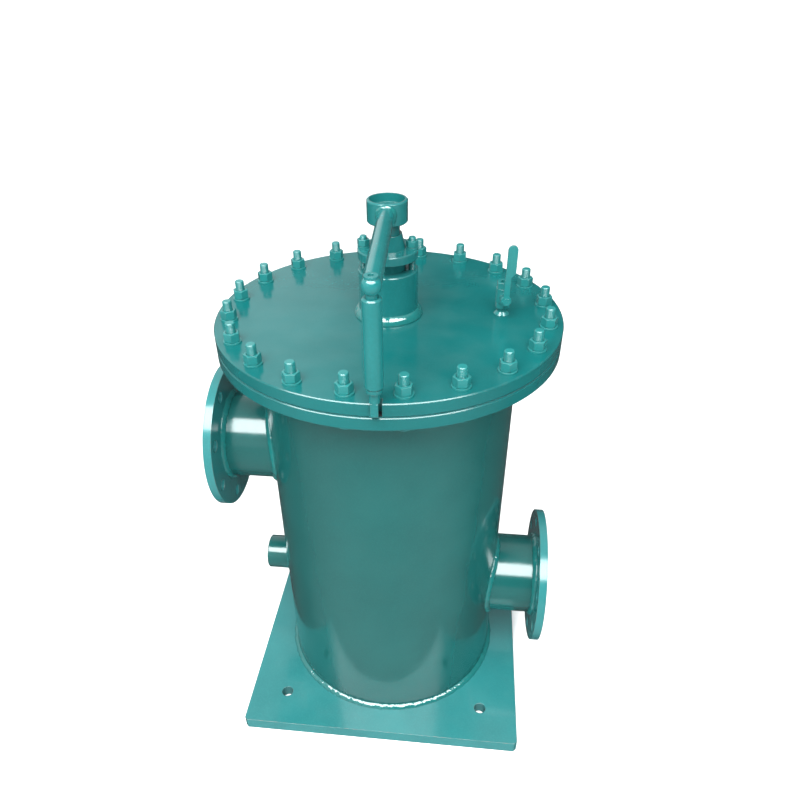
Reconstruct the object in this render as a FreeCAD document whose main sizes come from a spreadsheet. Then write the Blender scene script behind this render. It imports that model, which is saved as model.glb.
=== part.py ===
import FreeCAD, Part
import math
import os
import Sketcher

# Backwash water filter: a welded upright vessel on a square base plate, with a
# low inlet nozzle on +X, a high outlet nozzle on -X and a bolted flat cover.
# Inside, water rises through a seat ring into a wedge-wire screen and leaves
# outwards through it. A hollow rotor with suction shoes sweeps the inside of the
# screen, and a hand crank above the cover turns it. The dirt leaves through the
# hollow rotor, the drain bend and the drain socket. A small ball valve vents the
# cover. The origin is the middle of the underside of the base plate, +Z is up.

# Driving sizes, in millimetres and degrees. Heights are above the floor.
SIZES = {
    # base plate
    "base_margin": 61.5,
    "base_thickness": 28,
    "base_corner": 6,
    "base_hole_edge": 77.5,
    "base_hole": 24,
    # vessel shell and its flange
    "shell_diameter": 457,
    "shell_wall": 10,
    "vessel_height": 825,
    "shell_setback": 6,
    "rim_width": 69,
    "body_flange_thickness": 22,
    "edge_chamfer": 1.5,
    "shell_weld": 8.5,
    # cover and its bolting
    "gasket_thickness": 2,
    "gasket_width": 65,
    "gasket_inset": 1,
    "cover_thickness": 22,
    "bolt_edge_distance": 25,
    "bolt_count": 20,
    "bolt_start_angle": 10.9,
    "bolt_diameter": 16,
    "bolt_hole_clearance": 2,
    "bolt_head_height": 10,
    "bolt_flats": 24,
    "bolt_stand_out": 16,
    "nut_height": 14.8,
    "washer_width": 7,
    "washer_thickness": 3,
    "notch_angle": -86.9,
    "notch_width": 14,
    "notch_depth": 16,
    # nozzles
    "inlet_height": 235,
    "outlet_drop": 250,
    "nozzle_stand_out": 101.5,
    "nozzle_pipe_diameter": 168.3,
    "nozzle_pipe_wall": 7.1,
    "nozzle_flange_diameter": 285,
    "nozzle_flange_thickness": 18,
    "nozzle_face_width": 21.85,
    "nozzle_face_height": 2,
    "nozzle_bolt_edge": 22.5,
    "nozzle_bolt_count": 8,
    "nozzle_bolt_hole": 22,
    "nozzle_pipe_setback": 6,
    "nozzle_weld": 8,
    # drain
    "drain_height": 250,
    "drain_socket_length": 47.5,
    "drain_socket_wall": 8,
    "drain_thread_bore": 57,
    "drain_thread_depth": 30,
    "drain_weld": 6,
    "riser_diameter": 60.3,
    "riser_wall": 4,
    "riser_bend": 62,
    "riser_rise": 25,
    # foot bearing of the rotor
    "housing_wall": 7,
    "housing_web": 5,
    "housing_height": 29,
    "foot_bush_wall": 4.75,
    "foot_bush_collar_width": 5,
    "foot_bush_collar_height": 6,
    "foot_bush_fit": 0.1,
    "resting_gap": 0.3,
    # screen
    "seat_rise": 55,
    "seat_thickness": 12,
    "seat_lip": 2,
    "screen_space": 56.5,
    "screen_ring_width": 12,
    "screen_bottom_ring_height": 20,
    "screen_top_ring_height": 27,
    "wire_height": 5,
    "wire_depth": 3,
    "wire_pitch": 8,
    "wire_edge": 1.5,
    "rod_diameter": 6,
    "rod_count": 24,
    # rotor
    "rotor_diameter": 60.3,
    "rotor_wall": 5,
    "rotor_foot_gap": 3,
    "rotor_head_height": 10,
    "rotor_spigot_height": 12,
    "rotor_top_gap": 27,
    "thrust_ring_width": 7.85,
    "thrust_ring_height": 12,
    "suction_count": 5,
    "suction_pipe_diameter": 33.7,
    "suction_pipe_wall": 3.2,
    "shoe_height": 80,
    "shoe_overrun": 4,
    "shoe_width": 40,
    "shoe_depth": 30,
    "shoe_back_wall": 5,
    "shoe_slot": 6,
    "shoe_slot_margin": 8,
    "shoe_gap": 1.5,
    # shaft, stuffing box and gland
    "shaft_diameter": 40,
    "cover_bore_clearance": 2,
    "packing_width": 10,
    "box_wall": 20,
    "box_height": 80,
    "box_weld_foot": 9,
    "box_weld_rise": 14,
    "shaft_bush_height": 22,
    "shaft_fit": 0.05,
    "packing_count": 4,
    "packing_height": 10,
    "packing_gap": 0.2,
    "gland_nose_clearance": 0.2,
    "gland_shaft_clearance": 0.3,
    "gland_gap": 20,
    "gland_thickness": 14,
    "gland_stud_diameter": 12,
    "gland_stud_depth": 24,
    "gland_stud_hole_clearance": 1,
    "gland_hub_foot_wall": 8.7,
    "gland_hub_top_wall": 3.2,
    "gland_hub_height": 24,
    "gland_stud_stand_out": 5.5,
    "gland_washer_width": 4,
    "gland_washer_thickness": 2.5,
    "gland_nut_flats": 18,
    "gland_nut_height": 10.8,
    # hand crank
    "crank_angle": -87.5,
    "boss_wall": 13,
    "boss_lift": 23.2,
    "boss_height": 36,
    "boss_chamfer": 2,
    "boss_cup_wall": 4.5,
    "boss_cup_depth": 14,
    "shaft_end_stand_out": 1.5,
    "key_width": 12,
    "key_depth_shaft": 6,
    "key_depth_boss": 5,
    "set_screw_height": 11,
    "set_screw_diameter": 8,
    "set_screw_socket": 4,
    "set_screw_socket_depth": 4,
    "arm_diameter": 27,
    "arm_weld": 4,
    "spindle_diameter": 16,
    "spindle_head_width": 1.5,
    "spindle_head_height": 4,
    "spindle_seat_depth": 4,
    "spindle_socket": 8,
    "spindle_socket_depth": 3,
    "spindle_cover_gap": 4,
    "tongue_gap": 3,
    "tongue_width": 11.5,
    "tongue_thickness": 5,
    "tongue_drop": 17,
    "collar_width": 4,
    "collar_height": 6,
    "collar_clearance": 3.2,
    "grip_wall": 5.2,
    "grip_bore_clearance": 0.3,
    "grip_top_gap": 2.5,
    "grip_rounding": 2,
    # vent valve
    "vent_edge_distance": 103.5,
    "vent_forward": 13,
    "vent_turn": -82,
    "vent_pipe_diameter": 17.2,
    "vent_pipe_bore": 12.5,
    "vent_foot_diameter": 27,
    "vent_foot_height": 5,
    "vent_neck_height": 11,
    "vent_body_height": 46,
    "vent_flats": 22,
    "vent_hex_height": 11,
    "vent_hex_chamfer": 2,
    "vent_middle_diameter": 25,
    "vent_thread_depth": 8,
    "vent_bore": 11.4,
    "vent_ball_diameter": 17,
    "vent_neck_diameter": 16,
    "vent_neck_reach": 18,
    "vent_stem_diameter": 7,
    "vent_stem_inset": 1.5,
    "vent_stem_clearance": 0.1,
    "vent_packing_nut_flats": 15,
    "vent_packing_nut_height": 8,
    "vent_lever_gap": 1,
    "vent_lever_thickness": 3,
    "vent_lever_width": 16,
    "vent_lever_neck_width": 10,
    "vent_lever_taper": 8,
    "vent_lever_joggle": 4,
    "vent_lever_tab_length": 46,
    "vent_lever_hub": 18,
    "vent_lever_length": 94,
    "vent_lever_nut_flats": 12,
    "vent_lever_nut_height": 5,
}

# The flats of a hexagon lie at this share of its corner radius. A nut's corners
# are turned down at 30 degrees to a circle a little smaller than its flats.
HEX_FLAT_SHARE = round(math.cos(math.radians(30)), 6)
NUT_FACE_SHARE = 0.95
NUT_SLOPE = round(math.tan(math.radians(30)), 6)
NUT_GROOVE_ROOM = 1

document = FreeCAD.newDocument("BackwashWaterFilter")
sheet = document.addObject("Spreadsheet::Sheet", "Sizes")
for row, (alias, number) in enumerate(SIZES.items(), start=1):
    sheet.set("A%d" % row, alias)
    sheet.set("B%d" % row, str(number))
    sheet.setAlias("B%d" % row, alias)
document.recompute()

nodes = []


class Size:
    """A number worked out from the sheet: its value now and the expression that gives it."""

    def __init__(self, value, text):
        self.value = float(value)
        self.text = text

    def __add__(self, other):
        other = as_size(other)
        return Size(self.value + other.value, "(%s + %s)" % (self.text, other.text))

    def __radd__(self, other):
        return as_size(other) + self

    def __sub__(self, other):
        other = as_size(other)
        return Size(self.value - other.value, "(%s - %s)" % (self.text, other.text))

    def __rsub__(self, other):
        return as_size(other) - self

    def __mul__(self, other):
        other = as_size(other)
        return Size(self.value * other.value, "(%s * %s)" % (self.text, other.text))

    def __rmul__(self, other):
        return as_size(other) * self

    def __truediv__(self, other):
        other = as_size(other)
        return Size(self.value / other.value, "(%s / %s)" % (self.text, other.text))


def as_size(number):
    if isinstance(number, Size):
        return number
    return Size(number, "%g" % number)


def size(alias):
    """The named cell of the sheet."""
    return Size(sheet.get(alias), "Sizes." + alias)


def cosine(angle):
    return Size(math.cos(math.radians(angle.value)), "cos(%s * 1deg)" % angle.text)


def sine(angle):
    return Size(math.sin(math.radians(angle.value)), "sin(%s * 1deg)" % angle.text)


def bind(thing, name, number):
    """Set one property of an object from the sheet."""
    thing.setExpression(name, as_size(number).text)


def new_body(label, turn=None, along=None, across=None):
    """A sub-part: a body turned about Z and moved in X and Y as a whole."""
    body = document.addObject("PartDesign::Body", label)
    body.Label = label
    body.AllowCompound = True
    start = FreeCAD.Vector(along.value if along else 0, across.value if across else 0, 0)
    degrees = turn.value if turn else 0
    body.Placement = FreeCAD.Placement(start, FreeCAD.Rotation(FreeCAD.Vector(0, 0, 1), degrees))
    if turn:
        bind(body, "Placement.Rotation.Angle", turn)
    if along:
        bind(body, "Placement.Base.x", along)
    if across:
        bind(body, "Placement.Base.y", across)
    nodes.append(body)
    return body


def origin_plane(body, role):
    for feature in body.Origin.OriginFeatures:
        if feature.Role == role:
            return feature
    raise ValueError(role)


def place_on(feature, body, role, shift):
    """Attach a feature to one of its body's own planes, shifted in that plane's own directions."""
    feature.AttachmentSupport = [(origin_plane(body, role), "")]
    feature.MapMode = "FlatFace"
    numbers = [as_size(part) for part in shift]
    feature.AttachmentOffset = FreeCAD.Placement(
        FreeCAD.Vector(*[number.value for number in numbers]), FreeCAD.Rotation())
    for letter, number in zip("xyz", numbers):
        bind(feature, "AttachmentOffset.Base." + letter, number)


def new_sketch(body, role, shift=(0, 0, 0)):
    sketch = body.newObject("Sketcher::SketchObject", body.Name + "_sketch")
    place_on(sketch, body, role, shift)
    return sketch


def constrain(sketch, kind, where, number):
    """A dimension of a sketch, bound to the sheet."""
    number = as_size(number)
    index = sketch.addConstraint(Sketcher.Constraint(kind, *where, number.value))
    sketch.setExpression("Constraints[%d]" % index, number.text)


def place_point(sketch, geometry, end, across, up):
    constrain(sketch, "DistanceX", (-1, 1, geometry, end), across)
    constrain(sketch, "DistanceY", (-1, 1, geometry, end), up)


def draw_circle(sketch, radius, across=0, up=0):
    across = as_size(across)
    up = as_size(up)
    middle = FreeCAD.Vector(across.value, up.value, 0)
    circle = Part.Circle(middle, FreeCAD.Vector(0, 0, 1), as_size(radius).value)
    index = sketch.addGeometry(circle, False)
    place_point(sketch, index, 3, across, up)
    constrain(sketch, "Radius", (index,), radius)


def draw_outline(sketch, points):
    """A closed outline of straight lines through points that follow the sheet."""
    corners = [(as_size(across), as_size(up)) for across, up in points]
    vectors = [FreeCAD.Vector(across.value, up.value, 0) for across, up in corners]
    first = sketch.GeometryCount
    for index, vector in enumerate(vectors):
        following = vectors[(index + 1) % len(vectors)]
        sketch.addGeometry(Part.LineSegment(vector, following), False)
    for index, (across, up) in enumerate(corners):
        following = first + (index + 1) % len(corners)
        sketch.addConstraint(Sketcher.Constraint("Coincident", first + index, 2, following, 1))
        place_point(sketch, first + index, 1, across, up)


def box_outline(left, bottom, right, top):
    return [(left, bottom), (right, bottom), (right, top), (left, top)]


def revolve(body, points, role="XZ_Plane", shift=(0, 0, 0), axis="V_Axis"):
    """Turn an outline about the sketch's own upright or level axis."""
    sketch = new_sketch(body, role, shift)
    draw_outline(sketch, points)
    feature = body.newObject("PartDesign::Revolution", body.Name + "_turned")
    feature.Profile = sketch
    feature.ReferenceAxis = (sketch, [axis])
    feature.Angle = 360
    return feature


def checked_cut(body, feature):
    """Recompute a cut and make sure that it took material away."""
    before = feature.BaseFeature.Shape.Volume
    document.recompute()
    if not feature.Shape.Volume < before:
        raise ValueError(feature.Name + " cuts nothing")
    return feature


def groove(body, points, role="XZ_Plane", shift=(0, 0, 0), axis="V_Axis"):
    document.recompute()
    sketch = new_sketch(body, role, shift)
    draw_outline(sketch, points)
    feature = body.newObject("PartDesign::Groove", body.Name + "_groove")
    feature.Profile = sketch
    feature.ReferenceAxis = (sketch, [axis])
    feature.Angle = 360
    return checked_cut(body, feature)


def pad(body, sketch, length, towards_back=False):
    feature = body.newObject("PartDesign::Pad", body.Name + "_pad")
    feature.Profile = sketch
    feature.Reversed = towards_back
    bind(feature, "Length", length)
    return feature


def pocket(body, sketch, length, forwards=False):
    """Cut against the sketch's normal, or along it when forwards is set."""
    document.recompute()
    feature = body.newObject("PartDesign::Pocket", body.Name + "_pocket")
    feature.Profile = sketch
    feature.Reversed = forwards
    bind(feature, "Length", length)
    return checked_cut(body, feature)


def repeat_around(body, originals, count, axis=None):
    """Copies evenly round the body's own Z axis, or round a sketch's normal."""
    document.recompute()
    pattern = body.newObject("PartDesign::PolarPattern", body.Name + "_pattern")
    pattern.Originals = originals
    if axis is None:
        pattern.Axis = (origin_plane(body, "Z_Axis"), [""])
    else:
        pattern.Axis = (axis, ["N_Axis"])
    pattern.Angle = 360
    pattern.Occurrences = int(as_size(count).value)
    bind(pattern, "Occurrences", count)
    body.Tip = pattern
    return pattern


def repeat_upwards(body, originals, count, pitch):
    document.recompute()
    pattern = body.newObject("PartDesign::LinearPattern", body.Name + "_pattern")
    pattern.Originals = originals
    pattern.Direction = (origin_plane(body, "Z_Axis"), [""])
    pattern.Occurrences = int(as_size(count).value)
    bind(pattern, "Occurrences", count)
    bind(pattern, "Length", pitch * (count - 1))
    body.Tip = pattern
    return pattern


def primitive(body, kind, role, shift, **numbers):
    """A box, cylinder, prism or sphere of a body, attached to one of its planes."""
    feature = body.newObject("PartDesign::" + kind, body.Name + "_" + kind.lower())
    place_on(feature, body, role, shift)
    for name, number in numbers.items():
        bind(feature, name, number)
    return feature


def prism(body, role, shift, flats, height):
    feature = primitive(body, "AdditivePrism", role, shift,
                        Circumradius=flats / (2 * HEX_FLAT_SHARE), Height=height)
    feature.Polygon = 6
    return feature


# Heights and radii that several pieces share.
base_top = size("base_thickness")
shell_radius = size("shell_diameter") / 2
shell_inside = shell_radius - size("shell_wall")
rim_radius = shell_radius + size("rim_width")
screen_inside = shell_inside - size("screen_space") - size("screen_ring_width")
vent_across = rim_radius - size("vent_edge_distance")
flange_top = size("vessel_height")
flange_bottom = flange_top - size("body_flange_thickness")
cover_bottom = flange_top + size("gasket_thickness")
cover_top = cover_bottom + size("cover_thickness")
bolt_circle_radius = rim_radius - size("bolt_edge_distance")
bolt_hole_radius = (size("bolt_diameter") + size("bolt_hole_clearance")) / 2
washer_top = cover_top + size("washer_thickness")
nut_top = washer_top + size("nut_height")
shaft_radius = size("shaft_diameter") / 2
shaft_bottom = cover_bottom - size("rotor_top_gap")
rotor_radius = size("rotor_diameter") / 2
box_bore = shaft_radius + size("packing_width")
box_radius = box_bore + size("box_wall")
box_top = cover_top + size("box_height")
gland_bottom = box_top + size("gland_gap")
gland_top = gland_bottom + size("gland_thickness")
gland_stud_end = (gland_top + size("gland_washer_thickness") + size("gland_nut_height")
                  + size("gland_stud_stand_out"))
riser_bore = size("riser_diameter") / 2 - size("riser_wall")
riser_top = size("drain_height") + size("riser_bend") + size("riser_rise")
seat_bottom = riser_top + size("seat_rise")
seat_top = seat_bottom + size("seat_thickness")
outlet_height = flange_top - size("outlet_drop")
half_turn = as_size(180)


def bolt_place():
    """Where the first cover bolt stands, in the plan."""
    across = bolt_circle_radius * cosine(size("bolt_start_angle"))
    up = bolt_circle_radius * sine(size("bolt_start_angle"))
    return across, up


def make_base_plate():
    body = new_body("base_plate")
    side = size("shell_diameter") + size("base_margin") * 2
    plate = primitive(body, "AdditiveBox", "XY_Plane", (side / -2, side / -2, 0),
                      Length=side, Width=side, Height=base_top)
    document.recompute()
    corners = []
    for number, edge in enumerate(plate.Shape.Edges, start=1):
        if abs(edge.BoundBox.ZLength - base_top.value) < 0.001:
            corners.append("Edge%d" % number)
    chamfer = body.newObject("PartDesign::Chamfer", "base_plate_corners")
    chamfer.Base = (plate, corners)
    bind(chamfer, "Size", size("base_corner"))
    document.recompute()
    sketch = new_sketch(body, "XY_Plane", (0, 0, base_top))
    place = side / 2 - size("base_hole_edge")
    draw_circle(sketch, size("base_hole") / 2, place, place)
    hole = pocket(body, sketch, base_top)
    repeat_around(body, [hole], 4)


def make_vessel_shell():
    body = new_body("vessel_shell")
    top = flange_top - size("shell_setback")
    revolve(body, box_outline(shell_inside, base_top, shell_radius, top))
    nozzle_bore = size("nozzle_pipe_diameter") / 2 - size("nozzle_pipe_wall")
    holes = ((size("inlet_height"), nozzle_bore, True), (outlet_height, nozzle_bore, False),
             (size("drain_height"), riser_bore, False))
    for height, radius, forwards in holes:
        sketch = new_sketch(body, "YZ_Plane")
        draw_circle(sketch, radius, 0, height)
        pocket(body, sketch, size("shell_diameter"), forwards)


def make_body_flange():
    body = new_body("body_flange")
    edge = size("edge_chamfer")
    revolve(body, [
        (shell_radius, flange_bottom), (rim_radius - edge, flange_bottom),
        (rim_radius, flange_bottom + edge), (rim_radius, flange_top - edge),
        (rim_radius - edge, flange_top), (shell_radius, flange_top)])
    sketch = new_sketch(body, "XY_Plane", (0, 0, flange_top))
    draw_circle(sketch, bolt_hole_radius, *bolt_place())
    hole = pocket(body, sketch, size("body_flange_thickness"))
    repeat_around(body, [hole], size("bolt_count"))


def make_ring_welds():
    leg = size("shell_weld")
    foot = new_body("base_weld")
    revolve(foot, [(shell_radius, base_top), (shell_radius + leg, base_top),
                   (shell_radius, base_top + leg)])
    neck = new_body("flange_weld")
    revolve(neck, [(shell_radius, flange_bottom), (shell_radius, flange_bottom - leg),
                   (shell_radius + leg, flange_bottom)])


def cut_saddle(body, radius, height, reach):
    """Cut a level branch back to the upright cylinder that it is welded to."""
    sketch = new_sketch(body, "XY_Plane", (0, 0, height + reach))
    draw_circle(sketch, radius)
    pocket(body, sketch, reach * 2)


def trim_outside(body, radius, height, reach, far):
    """Take away what lies further out than an upright cylinder."""
    sketch = new_sketch(body, "XY_Plane", (0, 0, height + reach))
    draw_circle(sketch, radius)
    draw_circle(sketch, far)
    pocket(body, sketch, reach * 2)


def make_nozzle(name, height, turn):
    outside = size("nozzle_pipe_diameter") / 2
    inside = outside - size("nozzle_pipe_wall")
    face = shell_radius + size("nozzle_stand_out")
    back = face - size("nozzle_flange_thickness")
    shoulder = face - size("nozzle_face_height")
    inner_end = shell_radius - outside

    pipe = new_body(name + "_pipe", turn)
    revolve(pipe, box_outline(inner_end, inside, face - size("nozzle_pipe_setback"), outside),
            shift=(0, height, 0), axis="H_Axis")
    cut_saddle(pipe, shell_radius, height, size("nozzle_pipe_diameter"))

    flange = new_body(name + "_flange", turn)
    rim = size("nozzle_flange_diameter") / 2
    raised = outside + size("nozzle_face_width")
    revolve(flange, [(back, outside), (back, rim), (shoulder, rim), (shoulder, raised),
                     (face, raised), (face, outside)],
            shift=(0, height, 0), axis="H_Axis")
    sketch = new_sketch(flange, "YZ_Plane", (0, height, face))
    first = as_size(180) / size("nozzle_bolt_count")
    circle_radius = rim - size("nozzle_bolt_edge")
    draw_circle(sketch, size("nozzle_bolt_hole") / 2,
                circle_radius * cosine(first), circle_radius * sine(first))
    hole = pocket(flange, sketch, size("nozzle_flange_thickness"))
    repeat_around(flange, [hole], size("nozzle_bolt_count"), axis=sketch)

    make_branch_weld(name + "_weld", turn, shell_radius, outside, height, size("nozzle_weld"))
    ring = new_body(name + "_flange_weld", turn)
    leg = size("nozzle_weld")
    revolve(ring, [(back - leg, outside), (back, outside + leg), (back, outside)],
            shift=(0, height, 0), axis="H_Axis")


def make_branch_weld(name, turn, cylinder_radius, branch_radius, height, leg):
    """A weld that follows the line where a level branch meets an upright cylinder."""
    body = new_body(name, turn)
    inner_end = cylinder_radius - branch_radius
    revolve(body, box_outline(inner_end, branch_radius, cylinder_radius + leg,
                              branch_radius + leg),
            shift=(0, height, 0), axis="H_Axis")
    reach = (branch_radius + leg) * 2
    cut_saddle(body, cylinder_radius, height, reach)
    trim_outside(body, cylinder_radius + leg, height, reach, (cylinder_radius + leg) * 2)


def make_drain():
    height = size("drain_height")
    thread = size("drain_thread_bore") / 2
    outside = thread + size("drain_socket_wall")
    end = shell_radius + size("drain_socket_length")
    step = end - size("drain_thread_depth")
    edge = size("edge_chamfer")

    socket = new_body("drain_socket", half_turn)
    inner_end = shell_radius - outside
    revolve(socket, [(inner_end, riser_bore), (step, riser_bore), (step, thread), (end - edge, thread),
                     (end, thread + edge), (end, outside - edge), (end - edge, outside),
                     (inner_end, outside)],
            shift=(0, height, 0), axis="H_Axis")
    cut_saddle(socket, shell_radius, height, outside * 2)
    make_branch_weld("drain_weld", half_turn, shell_radius, outside, height, size("drain_weld"))

    riser = new_body("drain_riser", half_turn)
    bend = size("riser_bend")
    start = new_sketch(riser, "YZ_Plane", (0, height, shell_radius))
    draw_circle(start, size("riser_diameter") / 2)
    draw_circle(start, riser_bore)
    path = new_sketch(riser, "XZ_Plane")
    draw_drain_path(path, shell_radius, height, bend, riser_top)
    tube = riser.newObject("PartDesign::AdditivePipe", "drain_riser_tube")
    tube.Profile = start
    tube.Spine = (path, [])
    document.recompute()
    trim_outside(riser, shell_inside, height, size("riser_diameter"), shell_radius * 2)


def draw_drain_path(sketch, start, height, bend, top):
    """A level run from the shell to the middle, a quarter bend and an upright run."""
    level = Part.LineSegment(FreeCAD.Vector(start.value, height.value, 0),
                             FreeCAD.Vector(bend.value, height.value, 0))
    centre = FreeCAD.Vector(bend.value, height.value + bend.value, 0)
    circle = Part.Circle(centre, FreeCAD.Vector(0, 0, 1), bend.value)
    quarter = Part.ArcOfCircle(circle, math.pi, 1.5 * math.pi)
    upright = Part.LineSegment(FreeCAD.Vector(0, height.value + bend.value, 0),
                               FreeCAD.Vector(0, top.value, 0))
    sketch.addGeometry([level, quarter, upright], False)
    sketch.addConstraint(Sketcher.Constraint("Coincident", 0, 2, 1, 2))
    sketch.addConstraint(Sketcher.Constraint("Coincident", 1, 1, 2, 1))
    place_point(sketch, 0, 1, start, height)
    place_point(sketch, 1, 3, bend, height + bend)
    place_point(sketch, 0, 2, bend, height)
    place_point(sketch, 2, 2, 0, top)
    constrain(sketch, "DistanceX", (-1, 1, 2, 1), 0)
    sketch.addConstraint(Sketcher.Constraint("Tangent", 1, 2))


def make_foot_bearing():
    bore = rotor_radius + size("foot_bush_fit")
    bush_radius = bore + size("foot_bush_wall")
    collar_radius = bush_radius + size("foot_bush_collar_width")
    web_top = riser_top + size("housing_web")
    housing_top = riser_top + size("housing_height")
    bush_top = housing_top + size("foot_bush_collar_height")

    housing = new_body("foot_housing")
    outside = bush_radius + size("housing_wall")
    revolve(housing, [(riser_bore, riser_top), (outside, riser_top), (outside, housing_top),
                      (bush_radius, housing_top), (bush_radius, web_top), (riser_bore, web_top)])
    bush = new_body("foot_bush")
    revolve(bush, [(bore, web_top), (bush_radius, web_top), (bush_radius, housing_top),
                   (collar_radius, housing_top), (collar_radius, bush_top), (bore, bush_top)])
    ring = new_body("thrust_ring")
    ring_bottom = bush_top + size("resting_gap")
    revolve(ring, box_outline(rotor_radius, ring_bottom, rotor_radius + size("thrust_ring_width"),
                              ring_bottom + size("thrust_ring_height")))
    return web_top


def make_screen():
    inner = screen_inside
    outer = inner + size("screen_ring_width")
    wires_bottom = seat_top + size("screen_bottom_ring_height")
    wires_top = cover_bottom - size("screen_top_ring_height")

    seat = new_body("screen_seat")
    revolve(seat, box_outline(inner - size("seat_lip"), seat_bottom, shell_inside, seat_top))
    bottom = new_body("screen_bottom_ring")
    revolve(bottom, box_outline(inner, seat_top, outer, wires_bottom))
    top = new_body("screen_top_ring")
    revolve(top, box_outline(inner, wires_top, outer, cover_bottom))

    rod_radius = size("rod_diameter") / 2
    rod_place = inner + size("wire_depth") + rod_radius
    rods = new_body("screen_rods")
    rod = primitive(rods, "AdditiveCylinder", "XY_Plane", (rod_place, 0, wires_bottom),
                    Radius=rod_radius, Height=wires_top - wires_bottom)
    repeat_around(rods, [rod], size("rod_count"))

    # Each wire is a wedge: its wide face looks inwards, its edge lies on the rods.
    wires = new_body("screen_wires")
    middle = size("wire_height") / 2
    edge = size("wire_edge") / 2
    first = wires_bottom + (size("wire_pitch") - size("wire_height"))
    depth = inner + size("wire_depth")
    wire = revolve(wires, [(inner, first), (depth, first + middle - edge),
                           (depth, first + middle + edge), (inner, first + middle * 2)])
    room = wires_top.value - wires_bottom.value - size("wire_pitch").value
    repeat_upwards(wires, [wire], as_size(1 + math.floor(room / size("wire_pitch").value)),
                   size("wire_pitch"))
    return wires_bottom, wires_top


def make_rotor(rotor_foot, sweep_bottom, sweep_top):
    """The hollow rotor, its suction pipes and the shoes that run close to the screen."""
    turn = size("crank_angle")
    inside = rotor_radius - size("rotor_wall")
    top = shaft_bottom - size("rotor_head_height")
    count = int(size("suction_count").value)
    first = sweep_bottom + size("shoe_height") / 2
    last = sweep_top + size("shoe_overrun") - size("shoe_height") / 2
    pitch = (last - first) / (size("suction_count") - 1)
    pipe_outside = size("suction_pipe_diameter") / 2
    pipe_inside = pipe_outside - size("suction_pipe_wall")
    tip = screen_inside - size("shoe_gap")
    shoe_back = tip - size("shoe_depth")
    slot = size("shoe_slot") / 2
    margin = size("shoe_slot_margin")

    tube = new_body("rotor_tube", turn)
    revolve(tube, box_outline(inside, rotor_foot + size("rotor_foot_gap"), rotor_radius, top))
    pipes = new_body("suction_pipes", turn)
    shoes = new_body("suction_shoes", turn)
    for number in range(count):
        height = first + pitch * number
        side = 1 - 2 * (number % 2)
        hole = new_sketch(tube, "YZ_Plane")
        draw_circle(hole, pipe_inside, 0, height)
        pocket(tube, hole, size("rotor_diameter"), forwards=side > 0)

        ends = new_sketch(pipes, "YZ_Plane", (0, height, shoe_back * side))
        draw_circle(ends, pipe_outside)
        draw_circle(ends, pipe_inside)
        pad(pipes, ends, shoe_back, towards_back=side > 0)

        across = shoe_back if side > 0 else tip * -1
        primitive(shoes, "AdditiveBox", "XY_Plane",
                  (across, size("shoe_width") / -2, height - size("shoe_height") / 2),
                  Length=size("shoe_depth"), Width=size("shoe_width"), Height=size("shoe_height"))
        mouth = new_sketch(shoes, "YZ_Plane", (0, height, tip * side))
        half = size("shoe_height") / 2 - margin
        draw_outline(mouth, box_outline(slot * -1, half * -1, slot, half))
        pocket(shoes, mouth, size("shoe_depth") - size("shoe_back_wall"), forwards=side < 0)
        throat = new_sketch(shoes, "YZ_Plane", (0, height, shoe_back * side))
        draw_circle(throat, pipe_inside)
        pocket(shoes, throat, size("shoe_back_wall"), forwards=side > 0)
    trim_outside(shoes, tip, sweep_bottom, sweep_top, shell_inside)
    bore = new_sketch(pipes, "XY_Plane", (0, 0, top))
    draw_circle(bore, rotor_radius)
    pocket(pipes, bore, top - rotor_foot)

    head = new_body("rotor_head", turn)
    spigot_bottom = top - size("rotor_spigot_height")
    revolve(head, [(0, spigot_bottom), (inside, spigot_bottom), (inside, top),
                   (rotor_radius, top), (rotor_radius, shaft_bottom), (0, shaft_bottom)])


def make_cover_gasket():
    body = new_body("cover_gasket")
    outer = rim_radius - size("gasket_inset")
    revolve(body, box_outline(outer - size("gasket_width"), flange_top, outer, cover_bottom))
    sketch = new_sketch(body, "XY_Plane", (0, 0, cover_bottom))
    draw_circle(sketch, bolt_hole_radius, *bolt_place())
    hole = pocket(body, sketch, size("gasket_thickness"))
    repeat_around(body, [hole], size("bolt_count"))


def make_cover_plate():
    body = new_body("cover_plate")
    bore = shaft_radius + size("cover_bore_clearance")
    edge = size("edge_chamfer")
    revolve(body, [
        (bore, cover_bottom), (rim_radius - edge, cover_bottom), (rim_radius, cover_bottom + edge),
        (rim_radius, cover_top - edge), (rim_radius - edge, cover_top), (bore, cover_top)])
    vent = new_sketch(body, "XY_Plane", (0, 0, cover_top))
    draw_circle(vent, size("vent_pipe_bore") / 2, vent_across, size("vent_forward"))
    pocket(body, vent, size("cover_thickness"))
    notch = new_sketch(body, "XY_Plane", (0, 0, cover_top))
    notch.AttachmentOffset = FreeCAD.Placement(
        FreeCAD.Vector(0, 0, cover_top.value),
        FreeCAD.Rotation(FreeCAD.Vector(0, 0, 1), size("notch_angle").value))
    bind(notch, "AttachmentOffset.Rotation.Angle", size("notch_angle"))
    half = size("notch_width") / 2
    depth = size("notch_depth")
    draw_outline(notch, box_outline(rim_radius - depth, half * -1, rim_radius + depth, half))
    pocket(body, notch, size("cover_thickness"))
    sketch = new_sketch(body, "XY_Plane", (0, 0, cover_top))
    draw_circle(sketch, bolt_hole_radius, *bolt_place())
    hole = pocket(body, sketch, size("cover_thickness"))
    repeat_around(body, [hole], size("bolt_count"))


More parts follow.
